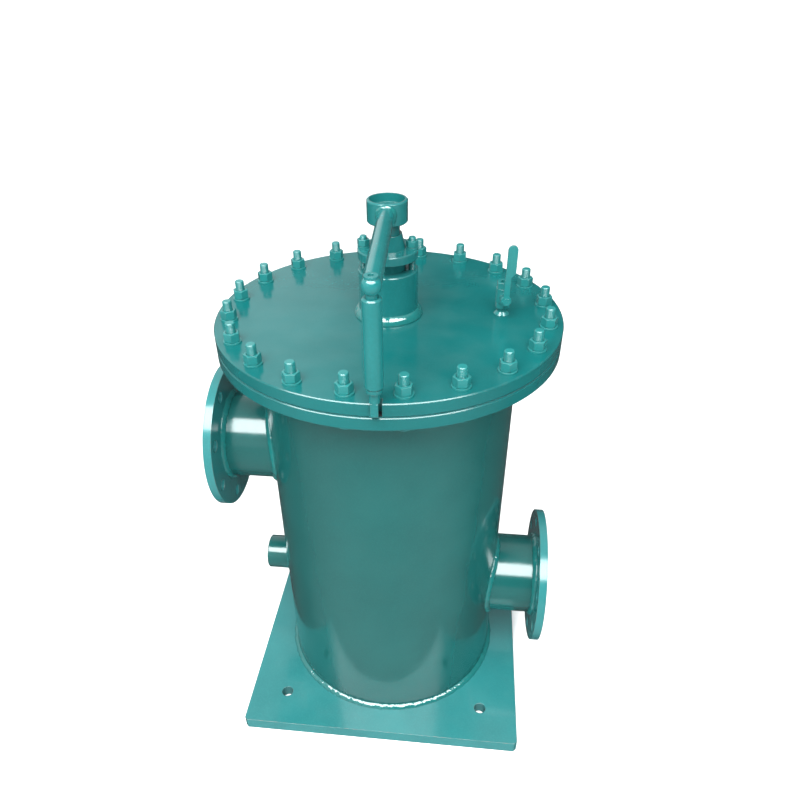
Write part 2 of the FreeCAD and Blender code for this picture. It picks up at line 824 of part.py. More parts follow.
def hexagon_with_hole(body, across, up, bottom, flats, height, hole_radius, faces_up=True):
    """A nut or a bolt head on a Z axis, its corners turned down at the free end."""
    block = prism(body, "XY_Plane", (across, up, bottom), flats, height)
    outside = flats / (2 * HEX_FLAT_SHARE) + NUT_GROOVE_ROOM
    face_radius = flats / 2 * NUT_FACE_SHARE
    end = bottom + height if faces_up else bottom
    slope = (outside - face_radius) * NUT_SLOPE
    low = end - slope if faces_up else end + slope
    features = [block]
    features.append(groove(body, [(face_radius, end), (outside, end), (outside, low)],
                           shift=(across, 0, up * -1)))
    if hole_radius is not None:
        sketch = new_sketch(body, "XY_Plane", (0, 0, bottom + height))
        draw_circle(sketch, hole_radius, across, up)
        features.append(pocket(body, sketch, height))
    return features


def make_cover_bolting():
    """Bolts from below, with washers and nuts on top, all round the cover."""
    across, up = bolt_place()
    radius = size("bolt_diameter") / 2
    head_bottom = flange_bottom - size("bolt_head_height")

    bolts = new_body("cover_bolts")
    features = hexagon_with_hole(bolts, across, up, head_bottom, size("bolt_flats"),
                                 size("bolt_head_height"), None, faces_up=False)
    end = nut_top + size("bolt_stand_out")
    edge = size("edge_chamfer")
    features.append(revolve(bolts, [
        (0, flange_bottom), (radius, flange_bottom), (radius, end - edge), (radius - edge, end),
        (0, end)], shift=(across, 0, up * -1)))
    repeat_around(bolts, features, size("bolt_count"))

    washers = new_body("cover_washers")
    washer = revolve(washers, box_outline(radius, cover_top, radius + size("washer_width"),
                                          washer_top), shift=(across, 0, up * -1))
    repeat_around(washers, [washer], size("bolt_count"))

    nuts = new_body("cover_nuts")
    features = hexagon_with_hole(nuts, across, up, washer_top, size("bolt_flats"),
                                 size("nut_height"), radius)
    repeat_around(nuts, features, size("bolt_count"))


def make_stuffing_box():
    bush_top = cover_top + size("shaft_bush_height")
    fit = shaft_radius + size("shaft_fit")
    edge = size("edge_chamfer")
    stud_radius = size("gland_stud_diameter") / 2
    stud_place = box_bore + size("box_wall") / 2

    box = new_body("stuffing_box")
    revolve(box, [(box_bore, cover_top), (box_radius, cover_top), (box_radius, box_top - edge),
                  (box_radius - edge, box_top), (box_bore, box_top)])
    sketch = new_sketch(box, "XY_Plane", (0, 0, box_top))
    draw_circle(sketch, stud_radius, stud_place, 0)
    hole = pocket(box, sketch, size("gland_stud_depth"))
    repeat_around(box, [hole], 2)
    weld = new_body("stuffing_box_weld")
    revolve(weld, [(box_radius, cover_top), (box_radius + size("box_weld_foot"), cover_top),
                   (box_radius, cover_top + size("box_weld_rise"))])
    bush = new_body("shaft_bush")
    revolve(bush, box_outline(fit, cover_top, box_bore, bush_top))
    packing = new_body("packing_rings")
    ring = revolve(packing, box_outline(fit, bush_top, box_bore,
                                        bush_top + size("packing_height") - size("packing_gap")))
    repeat_upwards(packing, [ring], size("packing_count"), size("packing_height"))
    nose_bottom = bush_top + size("packing_count") * size("packing_height")
    make_gland(nose_bottom, stud_place, stud_radius)


def make_gland(nose_bottom, stud_place, stud_radius):
    inside = shaft_radius + size("gland_shaft_clearance")
    nose = box_bore - size("gland_nose_clearance")
    edge = size("edge_chamfer")
    seat = gland_top + size("gland_washer_thickness")
    hub_foot = inside + size("gland_hub_foot_wall")
    hub_end = inside + size("gland_hub_top_wall")
    hub_top = gland_top + size("gland_hub_height")

    gland = new_body("gland")
    revolve(gland, [(inside, nose_bottom), (nose, nose_bottom), (nose, gland_bottom),
                    (box_radius, gland_bottom), (box_radius, gland_top - edge),
                    (box_radius - edge, gland_top), (hub_foot, gland_top), (hub_end, hub_top),
                    (inside, hub_top)])
    sketch = new_sketch(gland, "XY_Plane", (0, 0, gland_top))
    draw_circle(sketch, stud_radius + size("gland_stud_hole_clearance") / 2, stud_place, 0)
    hole = pocket(gland, sketch, size("gland_thickness"))
    repeat_around(gland, [hole], 2)

    studs = new_body("gland_studs")
    stud_bottom = box_top - size("gland_stud_depth")
    stud = revolve(studs, [(0, stud_bottom), (stud_radius, stud_bottom),
                           (stud_radius, gland_stud_end - edge),
                           (stud_radius - edge, gland_stud_end), (0, gland_stud_end)],
                   shift=(stud_place, 0, 0))
    repeat_around(studs, [stud], 2)
    washers = new_body("gland_washers")
    washer = revolve(washers, box_outline(stud_radius, gland_top,
                                          stud_radius + size("gland_washer_width"), seat),
                     shift=(stud_place, 0, 0))
    repeat_around(washers, [washer], 2)
    nuts = new_body("gland_nuts")
    features = hexagon_with_hole(nuts, stud_place, as_size(0), seat,
                                 size("gland_nut_flats"), size("gland_nut_height"), stud_radius)
    repeat_around(nuts, features, 2)


def make_crank():
    """Shaft, boss, key, arm and the spindle that carries the grip. The arm lies along local +X."""
    turn = size("crank_angle")
    bottom = gland_stud_end + size("boss_lift")
    top = bottom + size("boss_height")
    middle = bottom + size("boss_height") / 2
    boss_radius = shaft_radius + size("boss_wall")
    edge = size("boss_chamfer")
    key_half = size("key_width") / 2
    key_inner = shaft_radius - size("key_depth_shaft")
    key_outer = shaft_radius + size("key_depth_boss")

    cup_radius = boss_radius - size("boss_cup_wall")
    cup_floor = top - size("boss_cup_depth")

    shaft = new_body("crank_shaft", turn)
    revolve(shaft, box_outline(0, shaft_bottom, shaft_radius,
                               cup_floor + size("shaft_end_stand_out")))
    slot = new_sketch(shaft, "XY_Plane", (0, 0, top))
    draw_outline(slot, box_outline(key_outer * -1, key_half * -1, key_inner * -1, key_half))
    pocket(shaft, slot, size("boss_height"))

    boss = new_body("crank_boss", turn)
    revolve(boss, [(shaft_radius, bottom), (boss_radius - edge, bottom),
                   (boss_radius, bottom + edge), (boss_radius, top - edge),
                   (boss_radius - edge, top), (cup_radius, top), (cup_radius, cup_floor),
                   (shaft_radius, cup_floor)])
    slot = new_sketch(boss, "XY_Plane", (0, 0, top))
    draw_outline(slot, box_outline(key_outer * -1, key_half * -1, key_inner * -1, key_half))
    pocket(boss, slot, size("boss_height"))
    screw_radius = size("set_screw_diameter") / 2
    screw_level = bottom + size("set_screw_height")
    tapped = new_sketch(boss, "YZ_Plane", (0, screw_level, key_inner * -1))
    draw_circle(tapped, screw_radius)
    pocket(boss, tapped, boss_radius)

    key = new_body("boss_key", turn)
    primitive(key, "AdditiveBox", "XY_Plane", (key_outer * -1, key_half * -1, bottom),
              Length=key_outer - key_inner, Width=size("key_width"), Height=cup_floor - bottom)

    screw = new_body("boss_set_screw", turn)
    outer_end = new_sketch(screw, "YZ_Plane", (0, screw_level, key_outer * -1))
    draw_circle(outer_end, screw_radius)
    pad(screw, outer_end, boss_radius - key_outer - edge, towards_back=True)
    drive = new_sketch(screw, "YZ_Plane", (0, screw_level, (boss_radius - edge) * -1))
    draw_circle(drive, size("set_screw_socket") / 2)
    pocket(screw, drive, size("set_screw_socket_depth"), forwards=True)

    make_crank_arm(turn, middle, boss_radius)


def make_crank_arm(turn, middle, boss_radius):
    arm_radius = size("arm_diameter") / 2
    spindle_radius = size("spindle_diameter") / 2
    head_radius = spindle_radius + size("spindle_head_width")
    tongue_inner = rim_radius + size("tongue_gap")
    reach = tongue_inner + size("tongue_thickness") - spindle_radius
    seat = middle + arm_radius - size("spindle_seat_depth")
    head_top = seat + size("spindle_head_height")

    arm = new_body("crank_arm", turn)
    revolve(arm, box_outline(boss_radius - arm_radius, 0, reach, arm_radius),
            shift=(0, middle, 0), axis="H_Axis")
    document.recompute()
    primitive(arm, "AdditiveSphere", "XY_Plane", (reach, 0, middle), Radius=arm_radius)
    document.recompute()
    cut_saddle(arm, boss_radius, middle, size("arm_diameter"))
    hole = new_sketch(arm, "XY_Plane", (0, 0, middle + arm_radius))
    draw_circle(hole, spindle_radius, reach, 0)
    pocket(arm, hole, size("arm_diameter"))
    spot = new_sketch(arm, "XY_Plane", (0, 0, middle + arm_radius))
    draw_circle(spot, head_radius, reach, 0)
    pocket(arm, spot, size("spindle_seat_depth"))
    make_branch_weld("crank_arm_weld", turn, boss_radius, arm_radius, middle, size("arm_weld"))

    # The spindle hangs from the arm. Its milled tongue passes just outside the
    # cover's rim and points at the notch that marks the parked position.
    spindle = new_body("grip_spindle", turn)
    tongue_top = cover_top + size("spindle_cover_gap")
    revolve(spindle, [(0, tongue_top), (spindle_radius, tongue_top), (spindle_radius, seat),
                      (head_radius, seat), (head_radius, head_top), (0, head_top)],
            shift=(reach, 0, 0))
    primitive(spindle, "AdditiveBox", "XY_Plane",
              (tongue_inner, size("tongue_width") / -2, cover_top - size("tongue_drop")),
              Length=size("tongue_thickness"), Width=size("tongue_width"),
              Height=size("tongue_drop") + size("spindle_cover_gap"))
    drive = new_sketch(spindle, "XY_Plane", (0, 0, head_top))
    draw_circle(drive, size("spindle_socket") / 2, reach, 0)
    pocket(spindle, drive, size("spindle_socket_depth"))

    collar = new_body("spindle_collar", turn)
    collar_bottom = nut_top + size("collar_clearance")
    collar_top = collar_bottom + size("collar_height")
    revolve(collar, box_outline(spindle_radius, collar_bottom,
                                spindle_radius + size("collar_width"), collar_top),
            shift=(reach, 0, 0))

    grip = new_body("grip_sleeve", turn)
    bore = spindle_radius + size("grip_bore_clearance")
    grip_radius = bore + size("grip_wall")
    round_off = size("grip_rounding")
    grip_bottom = collar_top + size("resting_gap")
    grip_top = middle - arm_radius - size("grip_top_gap")
    revolve(grip, [(bore, grip_bottom), (grip_radius - round_off, grip_bottom),
                   (grip_radius, grip_bottom + round_off), (grip_radius, grip_top - round_off),
                   (grip_radius - round_off, grip_top), (bore, grip_top)],
            shift=(reach, 0, 0))


def vent_body(label):
    return new_body(label, size("vent_turn"), vent_across, size("vent_forward"))


def make_vent_valve():
    """A small ball valve with its flow axis upright and its stem along local +X."""
    pipe_radius = size("vent_pipe_diameter") / 2
    bottom = cover_top + size("vent_neck_height")
    top = bottom + size("vent_body_height")
    middle = bottom + size("vent_body_height") / 2
    socket_top = bottom + size("vent_thread_depth")
    hex_height = size("vent_hex_height")
    bore = size("vent_bore") / 2
    stem = size("vent_stem_diameter") / 2
    stem_hole = stem + size("vent_stem_clearance")
    ball = size("vent_ball_diameter") / 2
    neck_end = size("vent_neck_reach")

    nipple = vent_body("vent_nipple")
    foot_top = cover_top + size("vent_foot_height")
    inside = size("vent_pipe_bore") / 2
    revolve(nipple, [(inside, cover_top), (size("vent_foot_diameter") / 2, cover_top),
                     (pipe_radius, foot_top), (pipe_radius, socket_top), (inside, socket_top)])

    valve = vent_body("vent_valve_body")
    prism(valve, "XY_Plane", (0, 0, bottom), size("vent_flats"), size("vent_body_height"))
    document.recompute()
    waist = size("vent_middle_diameter") / 2
    flats = size("vent_flats") / 2
    primitive(valve, "AdditiveCylinder", "XY_Plane", (0, 0, bottom + hex_height),
              Radius=waist, Height=size("vent_body_height") - hex_height * 2)
    outside = waist + NUT_GROOVE_ROOM
    chamfer = size("vent_hex_chamfer")
    groove(valve, [(flats, top), (outside, top), (outside, top - chamfer)])
    groove(valve, [(flats, bottom), (outside, bottom), (outside, bottom + chamfer)])
    primitive(valve, "AdditiveCylinder", "YZ_Plane", (0, middle, 0),
              Radius=size("vent_neck_diameter") / 2, Height=neck_end)
    document.recompute()
    through = new_sketch(valve, "XY_Plane", (0, 0, top))
    draw_circle(through, bore)
    pocket(valve, through, size("vent_body_height"))
    socket = new_sketch(valve, "XY_Plane", (0, 0, socket_top))
    draw_circle(socket, pipe_radius)
    pocket(valve, socket, size("vent_thread_depth"))
    primitive(valve, "SubtractiveSphere", "XY_Plane", (0, 0, middle),
              Radius=ball + size("resting_gap"))
    document.recompute()
    stem_way = new_sketch(valve, "YZ_Plane", (0, middle, neck_end))
    draw_circle(stem_way, stem_hole)
    pocket(valve, stem_way, neck_end)

    nut_end = neck_end + size("vent_packing_nut_height")
    packing_nut = vent_body("vent_packing_nut")
    prism(packing_nut, "YZ_Plane", (0, middle, neck_end), size("vent_packing_nut_flats"),
          size("vent_packing_nut_height"))
    way = new_sketch(packing_nut, "YZ_Plane", (0, middle, nut_end))
    draw_circle(way, stem_hole)
    pocket(packing_nut, way, size("vent_packing_nut_height"))

    ball_body = vent_body("vent_ball")
    primitive(ball_body, "AdditiveSphere", "XY_Plane", (0, 0, middle), Radius=ball)
    document.recompute()
    way = new_sketch(ball_body, "XY_Plane", (0, 0, middle + ball))
    draw_circle(way, bore)
    pocket(ball_body, way, ball * 2)
    stem_start = ball - size("vent_stem_inset")
    way = new_sketch(ball_body, "YZ_Plane", (0, middle, ball))
    draw_circle(way, stem)
    pocket(ball_body, way, size("vent_stem_inset"))

    lever_start = nut_end + size("vent_lever_gap")
    lever_end = lever_start + size("vent_lever_thickness")
    stem_end = lever_end + size("vent_lever_nut_height")
    stem_body = vent_body("vent_stem")
    primitive(stem_body, "AdditiveCylinder", "YZ_Plane", (0, middle, stem_start),
              Radius=stem, Height=stem_end - stem_start)

    lever = vent_body("vent_lever")
    half = size("vent_lever_width") / 2
    neck = size("vent_lever_neck_width") / 2
    blade = new_sketch(lever, "YZ_Plane", (0, middle, lever_start))
    length = size("vent_lever_length") - half
    aside = size("vent_lever_joggle")
    tab_foot = size("vent_lever_length") - size("vent_lever_tab_length")
    neck_top = tab_foot - size("vent_lever_taper")
    draw_outline(blade, [(neck * -1, 0), (neck, 0), (neck, neck_top), (aside + half, tab_foot),
                         (aside + half, length), (aside - half, length),
                         (aside - half, tab_foot), (neck * -1, neck_top)])
    pad(lever, blade, size("vent_lever_thickness"))
    ends = ((0, 0, size("vent_lever_hub") / 2), (aside, length, half))
    for across, height, radius in ends:
        disc = new_sketch(lever, "YZ_Plane", (0, middle + height, lever_start))
        draw_circle(disc, radius, across)
        pad(lever, disc, size("vent_lever_thickness"))
    way = new_sketch(lever, "YZ_Plane", (0, middle, lever_end))
    draw_circle(way, stem)
    pocket(lever, way, size("vent_lever_thickness"))

    lever_nut = vent_body("vent_lever_nut")
    prism(lever_nut, "YZ_Plane", (0, middle, lever_end), size("vent_lever_nut_flats"),
          size("vent_lever_nut_height"))
    way = new_sketch(lever_nut, "YZ_Plane", (0, middle, stem_end))
    draw_circle(way, stem)
    pocket(lever_nut, way, size("vent_lever_nut_height"))


def check_document():
    """Stop on any failed feature or empty, broken shape."""
    document.recompute()
    for thing in document.Objects:
        if "Invalid" in thing.State or "Error" in thing.State:
            raise ValueError(thing.Name + " failed")
    for body in nodes:
        if body.Shape.isNull() or not body.Shape.isValid() or body.Shape.Volume <= 0:
            raise ValueError(body.Label + " has no sound shape")


def write_parts():
    os.makedirs("parts", exist_ok=True)
    for body in nodes:
        body.Shape.exportStep("parts/%s.step" % body.Label)
        print("%-22s %3d solids %12.1f mm3" % (
            body.Label, len(body.Shape.Solids), body.Shape.Volume))


make_base_plate()
make_vessel_shell()
make_body_flange()
make_ring_welds()
make_nozzle("inlet", size("inlet_height"), as_size(0))
make_nozzle("outlet", outlet_height, half_turn)
make_drain()
rotor_foot_level = make_foot_bearing()
wires_bottom_level, wires_top_level = make_screen()
make_rotor(rotor_foot_level, wires_bottom_level, wires_top_level)
make_cover_gasket()
make_cover_plate()
make_cover_bolting()
make_stuffing_box()
make_crank()
make_vent_valve()
check_document()
write_parts()
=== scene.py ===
# %% [markdown]
# A backwash water filter: a steel pot on a square plate, with two flanged nozzles,
# a bolted cover, a hand crank and a small vent valve. The whole outside was sprayed
# with one coat of glossy teal-green machine enamel after welding and bolting up, so
# its look comes from one paint on very different grounds: rolled pipe, flame-cut
# plate, turned flanges, rough weld beads and threads. The solid pieces come from the
# frame and keep their exact places. This lesson gives them finishes and adds what a
# plain solid lacks: rippled welds, real threads, chamfered nuts and soft edges.

# %% Load the frame
import math
import random

import bmesh
import bpy
from mathutils import Matrix, Vector


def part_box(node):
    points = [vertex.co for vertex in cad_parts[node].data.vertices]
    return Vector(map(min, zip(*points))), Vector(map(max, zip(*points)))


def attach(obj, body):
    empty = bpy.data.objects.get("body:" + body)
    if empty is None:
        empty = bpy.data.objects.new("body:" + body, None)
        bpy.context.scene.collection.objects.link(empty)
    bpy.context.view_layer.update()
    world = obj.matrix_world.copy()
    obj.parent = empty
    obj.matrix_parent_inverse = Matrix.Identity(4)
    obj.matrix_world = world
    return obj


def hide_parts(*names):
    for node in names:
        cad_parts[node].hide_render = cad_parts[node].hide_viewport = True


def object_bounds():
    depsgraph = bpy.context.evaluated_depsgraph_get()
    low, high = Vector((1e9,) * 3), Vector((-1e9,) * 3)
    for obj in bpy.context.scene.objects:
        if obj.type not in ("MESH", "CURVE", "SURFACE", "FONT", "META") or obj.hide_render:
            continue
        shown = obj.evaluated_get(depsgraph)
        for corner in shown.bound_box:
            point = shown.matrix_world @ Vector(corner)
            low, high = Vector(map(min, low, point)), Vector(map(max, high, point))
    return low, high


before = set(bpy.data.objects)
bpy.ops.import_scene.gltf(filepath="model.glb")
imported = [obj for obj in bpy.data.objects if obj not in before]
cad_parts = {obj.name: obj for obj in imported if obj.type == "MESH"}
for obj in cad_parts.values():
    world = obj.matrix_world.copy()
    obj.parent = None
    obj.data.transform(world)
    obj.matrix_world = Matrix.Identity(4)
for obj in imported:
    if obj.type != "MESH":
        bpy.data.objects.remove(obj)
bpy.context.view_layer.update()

# %% [markdown]
# Every size below is read from the solids, so a piece that is made here sits where
# the solid has its seat. A few sizes of hand work, such as the length of one weld
# ripple, have no solid, and are named in millimetres where they are used.

# %% Sizes that several pieces share
MM = 0.001
shell_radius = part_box("vessel_shell")[1].x
cover_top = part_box("cover_plate")[1].z
flange_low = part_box("body_flange")[0].z
base_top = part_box("base_plate")[1].z
pipe_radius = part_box("inlet_pipe")[1].y
print("shell radius", round(shell_radius, 4), "cover top", round(cover_top, 4))


def middle_of(node):
    """The middle of a solid's box."""
    low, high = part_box(node)
    return (low + high) / 2


# %% [markdown]
# Colours are written as the hex values that a paint shop or a picture editor uses.
# They are for the screen, and light is reckoned in linear values, so one function
# turns them. Another function adds a node with its settings and links and hands back
# one of its outputs, which keeps each material readable as a list of steps.

# %% Colour and node helpers
def colour(text):
    """An sRGB hex value as a linear colour with full alpha."""
    parts = [int(text[place:place + 2], 16) / 255 for place in (1, 3, 5)]
    linear = [part / 12.92 if part <= 0.04045 else ((part + 0.055) / 1.055) ** 2.4
              for part in parts]
    return (*linear, 1.0)


def tinted(text, factor):
    """A hex colour made darker or lighter by a factor, in linear light."""
    return (*(part * factor for part in colour(text)[:3]), 1.0)


def fill(tree, node, inputs):
    """Fills sockets of a node, each with a value or a link."""
    for socket, value in inputs.items():
        if isinstance(value, bpy.types.NodeSocket):
            tree.links.new(value, node.inputs[socket])
        else:
            node.inputs[socket].default_value = value


def add(tree, kind, inputs=None, out=0, **settings):
    """Adds a node with its settings and links, and gives one output, or else the node."""
    node = tree.nodes.new(kind)
    for name, value in settings.items():
        setattr(node, name, value)
    fill(tree, node, inputs or {})
    return node if out is None else node.outputs[out]


def new_material(name):
    """An empty material, its node tree, its main shader and the object's coordinates."""
    material = bpy.data.materials.new(name)
    material.use_nodes = True
    tree = material.node_tree
    tree.nodes.clear()
    shader = add(tree, "ShaderNodeBsdfPrincipled", out=None)
    add(tree, "ShaderNodeOutputMaterial", {"Surface": shader.outputs["BSDF"]}, out=None)
    place = add(tree, "ShaderNodeTexCoord", out="Object")
    return material, tree, shader, place


print("mid grey in linear light:", [round(part, 3) for part in colour("#808080")])

# %% [markdown]
# No paint or metal is quite even. Two patterns serve nearly all the finishes: cloudy
# patches, which change a tone or a gloss, and cloudy bumps, which bend the mirror
# image. Both come from the same soft noise, and their size is given in metres, so
# that they keep their real scale on every piece.

# %% Patches and bumps
NOISE_SPAN = (0.3, 0.7)  # nearly all of the noise lies between these two values
SHARE, BELOW, ABOVE = 0, 6, 7  # sockets of a mix of two colours
COLOUR_MIX = {"out": 2, "data_type": "RGBA"}


def patches(tree, place, size, detail, span=NOISE_SPAN, ends=(0.0, 1.0)):
    """Cloudy patches: a span of the noise, stretched to run from one end to the other."""
    cloudy = add(tree, "ShaderNodeTexNoise",
                 {"Vector": place, "Scale": 1 / size, "Detail": detail}, "Fac")
    return add(tree, "ShaderNodeMapRange",
               {"Value": cloudy, "From Min": span[0], "From Max": span[1],
                "To Min": ends[0], "To Max": ends[1]})


def bumps(tree, place, size, detail, height, under=None, strength=1.0):
    """Cloudy bumps of a width and height, laid over the normal under them."""
    cloudy = add(tree, "ShaderNodeTexNoise",
                 {"Vector": place, "Scale": 1 / size, "Detail": detail}, "Fac")
    inputs = {"Height": cloudy, "Distance": height, "Strength": strength}
    if under is not None:
        inputs["Normal"] = under
    return add(tree, "ShaderNodeBump", inputs)


print("the noise is used between", *NOISE_SPAN)

# %% [markdown]
# The paint is an alkyd machine enamel, sprayed in one thick coat. To the eye that is
# an even teal-green with a wet gloss, a faint orange-peel, a thinner film on sharp
# edges where the brown primer shines through, and a trace of grey dust on level faces.
# The tone is set piece by piece as painted light and shade: darkest on the rolled pipe,
# which lies in shade, and lightest on the flame-cut plate, which gets the most light.

# %% Tones and grain of the paint
# Painted light and shade: each teal below is the one enamel as it looks lit on its piece, paler on
# the plate and darker on the pipe.
TEAL_AS_LIT_ON_PIPE = "#124E4C"
TEAL_AS_LIT_ON_COVER = "#0A5656"
TEAL_AS_LIT_ON_PLATE = "#286F70"
TEAL_AS_LIT_ON_BAR = "#176262"
TEAL_AS_LIT_ON_BOLTS = "#206D6C"
TEAL_AS_LIT_ON_WELD = "#1A6462"
PRIMER = "#6B5F55"
DUST = "#9FB3AC"
DARKER, LIGHTER = 0.86, 1.12
TONE_PATCH = 140 * MM
MIST_PATCH = 3 * MM
CHIP = 11 * MM
CHIP_LEAST = 0.15  # how much of the primer shows between two chips
DUST_PATCH = 60 * MM
DUST_MOST = 0.02


def film_colour(tree, place, teal, true, rounded, thin, dusty):
    """Cloudy teal, primer where an edge has thinned the film, and a trace of dust."""
    broad = patches(tree, place, TONE_PATCH, 3.0, (0.35, 0.65))
    film = add(tree, "ShaderNodeMix",
               {SHARE: broad, BELOW: tinted(teal, DARKER), ABOVE: colour(teal)}, **COLOUR_MIX)
    mist = patches(tree, place, MIST_PATCH, 3.0, (0.45, 0.75), (0.0, 0.5))
    film = add(tree, "ShaderNodeMix",
               {SHARE: mist, BELOW: film, ABOVE: tinted(teal, LIGHTER)}, **COLOUR_MIX)

    # The rounded normal turns away from the true one only near an edge.
    facing = add(tree, "ShaderNodeVectorMath", {0: rounded, 1: true}, "Value",
                 operation="DOT_PRODUCT")
    near_edge = add(tree, "ShaderNodeMapRange",
                    {"Value": facing, "From Min": 0.995, "From Max": 0.86})
    chips = patches(tree, place, CHIP, 4.0, (0.42, 0.62), (CHIP_LEAST, 1.0))
    bare = add(tree, "ShaderNodeMath", {0: near_edge, 1: chips}, operation="MULTIPLY")
    bare = add(tree, "ShaderNodeMath", {0: bare, 1: thin}, operation="MULTIPLY")
    film = add(tree, "ShaderNodeMix",
               {SHARE: bare, BELOW: film, ABOVE: colour(PRIMER)}, **COLOUR_MIX)
    return add(tree, "ShaderNodeMix",
               {SHARE: dusty, BELOW: film, ABOVE: colour(DUST)}, **COLOUR_MIX)


def dust_share(tree, place, true):
    """Dust settles on level faces in cloudy patches."""
    upward = add(tree, "ShaderNodeSeparateXYZ", {0: true}, "Z")
    level = add(tree, "ShaderNodeMapRange",
                {"Value": upward, "From Min": 0.6, "From Max": 0.95})
    cloudy = patches(tree, place, DUST_PATCH, 5.0, (0.42, 0.72), (0.0, DUST_MOST))
    return add(tree, "ShaderNodeMath", {0: level, 1: cloudy}, operation="MULTIPLY")


print("teal on the pipe in linear light:", [round(part, 3) for part in colour(TEAL_AS_LIT_ON_PIPE)])

# %% [markdown]
# Wet enamel flows before it sets. It keeps the slow waves of its ground, gathers in
# upright sags where the sprayer passed, and dries with a fine peel. Each is a layer of
# bumps over a normal that is rounded at the edges, since real paint has no knife edge.
# Enamel is an ordinary non-metal: IOR about 1.5, metallic 0 and roughness from about
# 0.1 to 0.2, under a smooth wet skin that is strongest on the beads.

# %% The enamel
ORANGE_PEEL = 5 * MM  # real peel is 1 to 2 mm across, too fine to show from here
GLOSS_PATCH = 35 * MM
SAG_WIDTH = 26 * MM
SAG_HEIGHT = 0.35 * MM
SAG_STRETCH = 0.09  # along Z, which makes a sag about eleven times as long as wide
WET_SKIN_ROUGHNESS = 0.05


def film_normal(tree, place, rounded, wave, skin, sags):
    """The film's surface, from the broad waves of the ground to its fine peel."""
    normal = bumps(tree, place, wave[0], 2.0, wave[1], rounded)
    if sags:
        drawn = add(tree, "ShaderNodeMapping", {"Vector": place, "Scale": (1, 1, SAG_STRETCH)})
        normal = bumps(tree, drawn, SAG_WIDTH, 2.0, SAG_HEIGHT, normal)
    return bumps(tree, place, skin[0], 3.0, skin[1], normal)


def enamel(name, teal, wave, skin, edge, sags=False, roughness=(0.13, 0.22), thin=0.5, wet=0.25):
    """Teal-green enamel; wave and skin are each a width and a height in metres."""
    material, tree, shader, place = new_material(name)
    rounded = add(tree, "ShaderNodeBevel", {"Radius": edge}, samples=6)
    true = add(tree, "ShaderNodeNewGeometry", out="Normal")
    dusty = dust_share(tree, place, true)
    gloss = patches(tree, place, GLOSS_PATCH, 4.0, ends=roughness)
    fill(tree, shader, {
        "Base Color": film_colour(tree, place, teal, true, rounded, thin, dusty),
        "Roughness": add(tree, "ShaderNodeMath", {0: gloss, 1: dusty}, operation="ADD"),
        "IOR": 1.5,
        "Coat Weight": wet,
        "Coat Roughness": WET_SKIN_ROUGHNESS,
        "Normal": film_normal(tree, place, rounded, wave, skin, sags)})
    return material


# %% One enamel for each ground, each in the painted light and shade of its piece
enamel_on_pipe = enamel("alkyd_enamel_on_rolled_pipe", TEAL_AS_LIT_ON_PIPE, (90 * MM, 0.8 * MM),
                        (ORANGE_PEEL, 0.012 * MM), edge=1.2 * MM, sags=True)
enamel_on_plate = enamel("alkyd_enamel_on_flame_cut_plate", TEAL_AS_LIT_ON_PLATE, (120 * MM, 0.8 * MM),
                         (ORANGE_PEEL, 0.06 * MM), edge=2.0 * MM, thin=0.7)
enamel_on_cover = enamel("alkyd_enamel_on_turned_cover", TEAL_AS_LIT_ON_COVER, (150 * MM, 0.7 * MM),
                         (ORANGE_PEEL, 0.04 * MM), edge=1.2 * MM, roughness=(0.13, 0.20), wet=0.1)
enamel_on_weld = enamel("alkyd_enamel_on_weld_bead", TEAL_AS_LIT_ON_WELD, (14 * MM, 0.2 * MM),
                        (2.5 * MM, 0.02 * MM), edge=0.6 * MM, roughness=(0.07, 0.12), thin=0.1,
                        wet=0.7)
enamel_on_bolts = enamel("alkyd_enamel_on_bolts_and_nuts", TEAL_AS_LIT_ON_BOLTS, (6 * MM, 0.1 * MM),
                         (2 * MM, 0.03 * MM), edge=0.8 * MM, roughness=(0.11, 0.20), thin=0.35)
enamel_on_crank = enamel("alkyd_enamel_on_turned_bar", TEAL_AS_LIT_ON_BAR, (40 * MM, 0.35 * MM),
                         (ORANGE_PEEL, 0.04 * MM), edge=1.2 * MM, roughness=(0.11, 0.20), thin=0.45)
print("enamels:", [item.name for item in bpy.data.materials if item.name.startswith("alkyd")])

# %% [markdown]
# The hidden pieces are bare: stainless steel screen and rotor, bronze bushes, a rubber
# gasket, braided packing and plastic shoes. A metal keeps the default IOR and is
# metallic 1; its look comes from fine lines that the tool or the rolls left, drawn
# along the piece's own direction.

# %% Metals of the inside
TOOL_LINE_DEPTH = 0.05 * MM
TOOL_LINE_STRENGTH = 0.4
METAL_PATCH = 30 * MM


def drawn_metal(name, dark, light, stretch, line, roughness):
    """A bare metal with fine lines; stretch gives how the lines run along each axis."""
    material, tree, shader, place = new_material(name)
    along = add(tree, "ShaderNodeMapping", {"Vector": place, "Scale": stretch})
    lines = patches(tree, along, line, 4.0)
    fill(tree, shader, {
        "Base Color": add(tree, "ShaderNodeMix",
                          {SHARE: lines, BELOW: colour(dark), ABOVE: colour(light)}, **COLOUR_MIX),
        "Metallic": 1.0,
        "Roughness": patches(tree, place, METAL_PATCH, 3.0, ends=roughness),
        "Normal": bumps(tree, along, line, 4.0, TOOL_LINE_DEPTH,
                        strength=TOOL_LINE_STRENGTH)})
    return material


stainless = drawn_metal("stainless_steel_drawn", "#8F9192", "#C9CBCA", (1, 1, 0.1), 2 * MM,
                        (0.25, 0.42))
bronze = drawn_metal("bearing_bronze_turned", "#8A6233", "#C79A57", (0.2, 0.2, 1), 1.5 * MM,
                     (0.24, 0.4))
plated_ball = drawn_metal("ball_nickel_plated_polished", "#B9BBBA", "#E4E5E3", (1, 1, 1),
                          3 * MM, (0.08, 0.16))
print("metals:", [item.name for item in (stainless, bronze, plated_ball)])

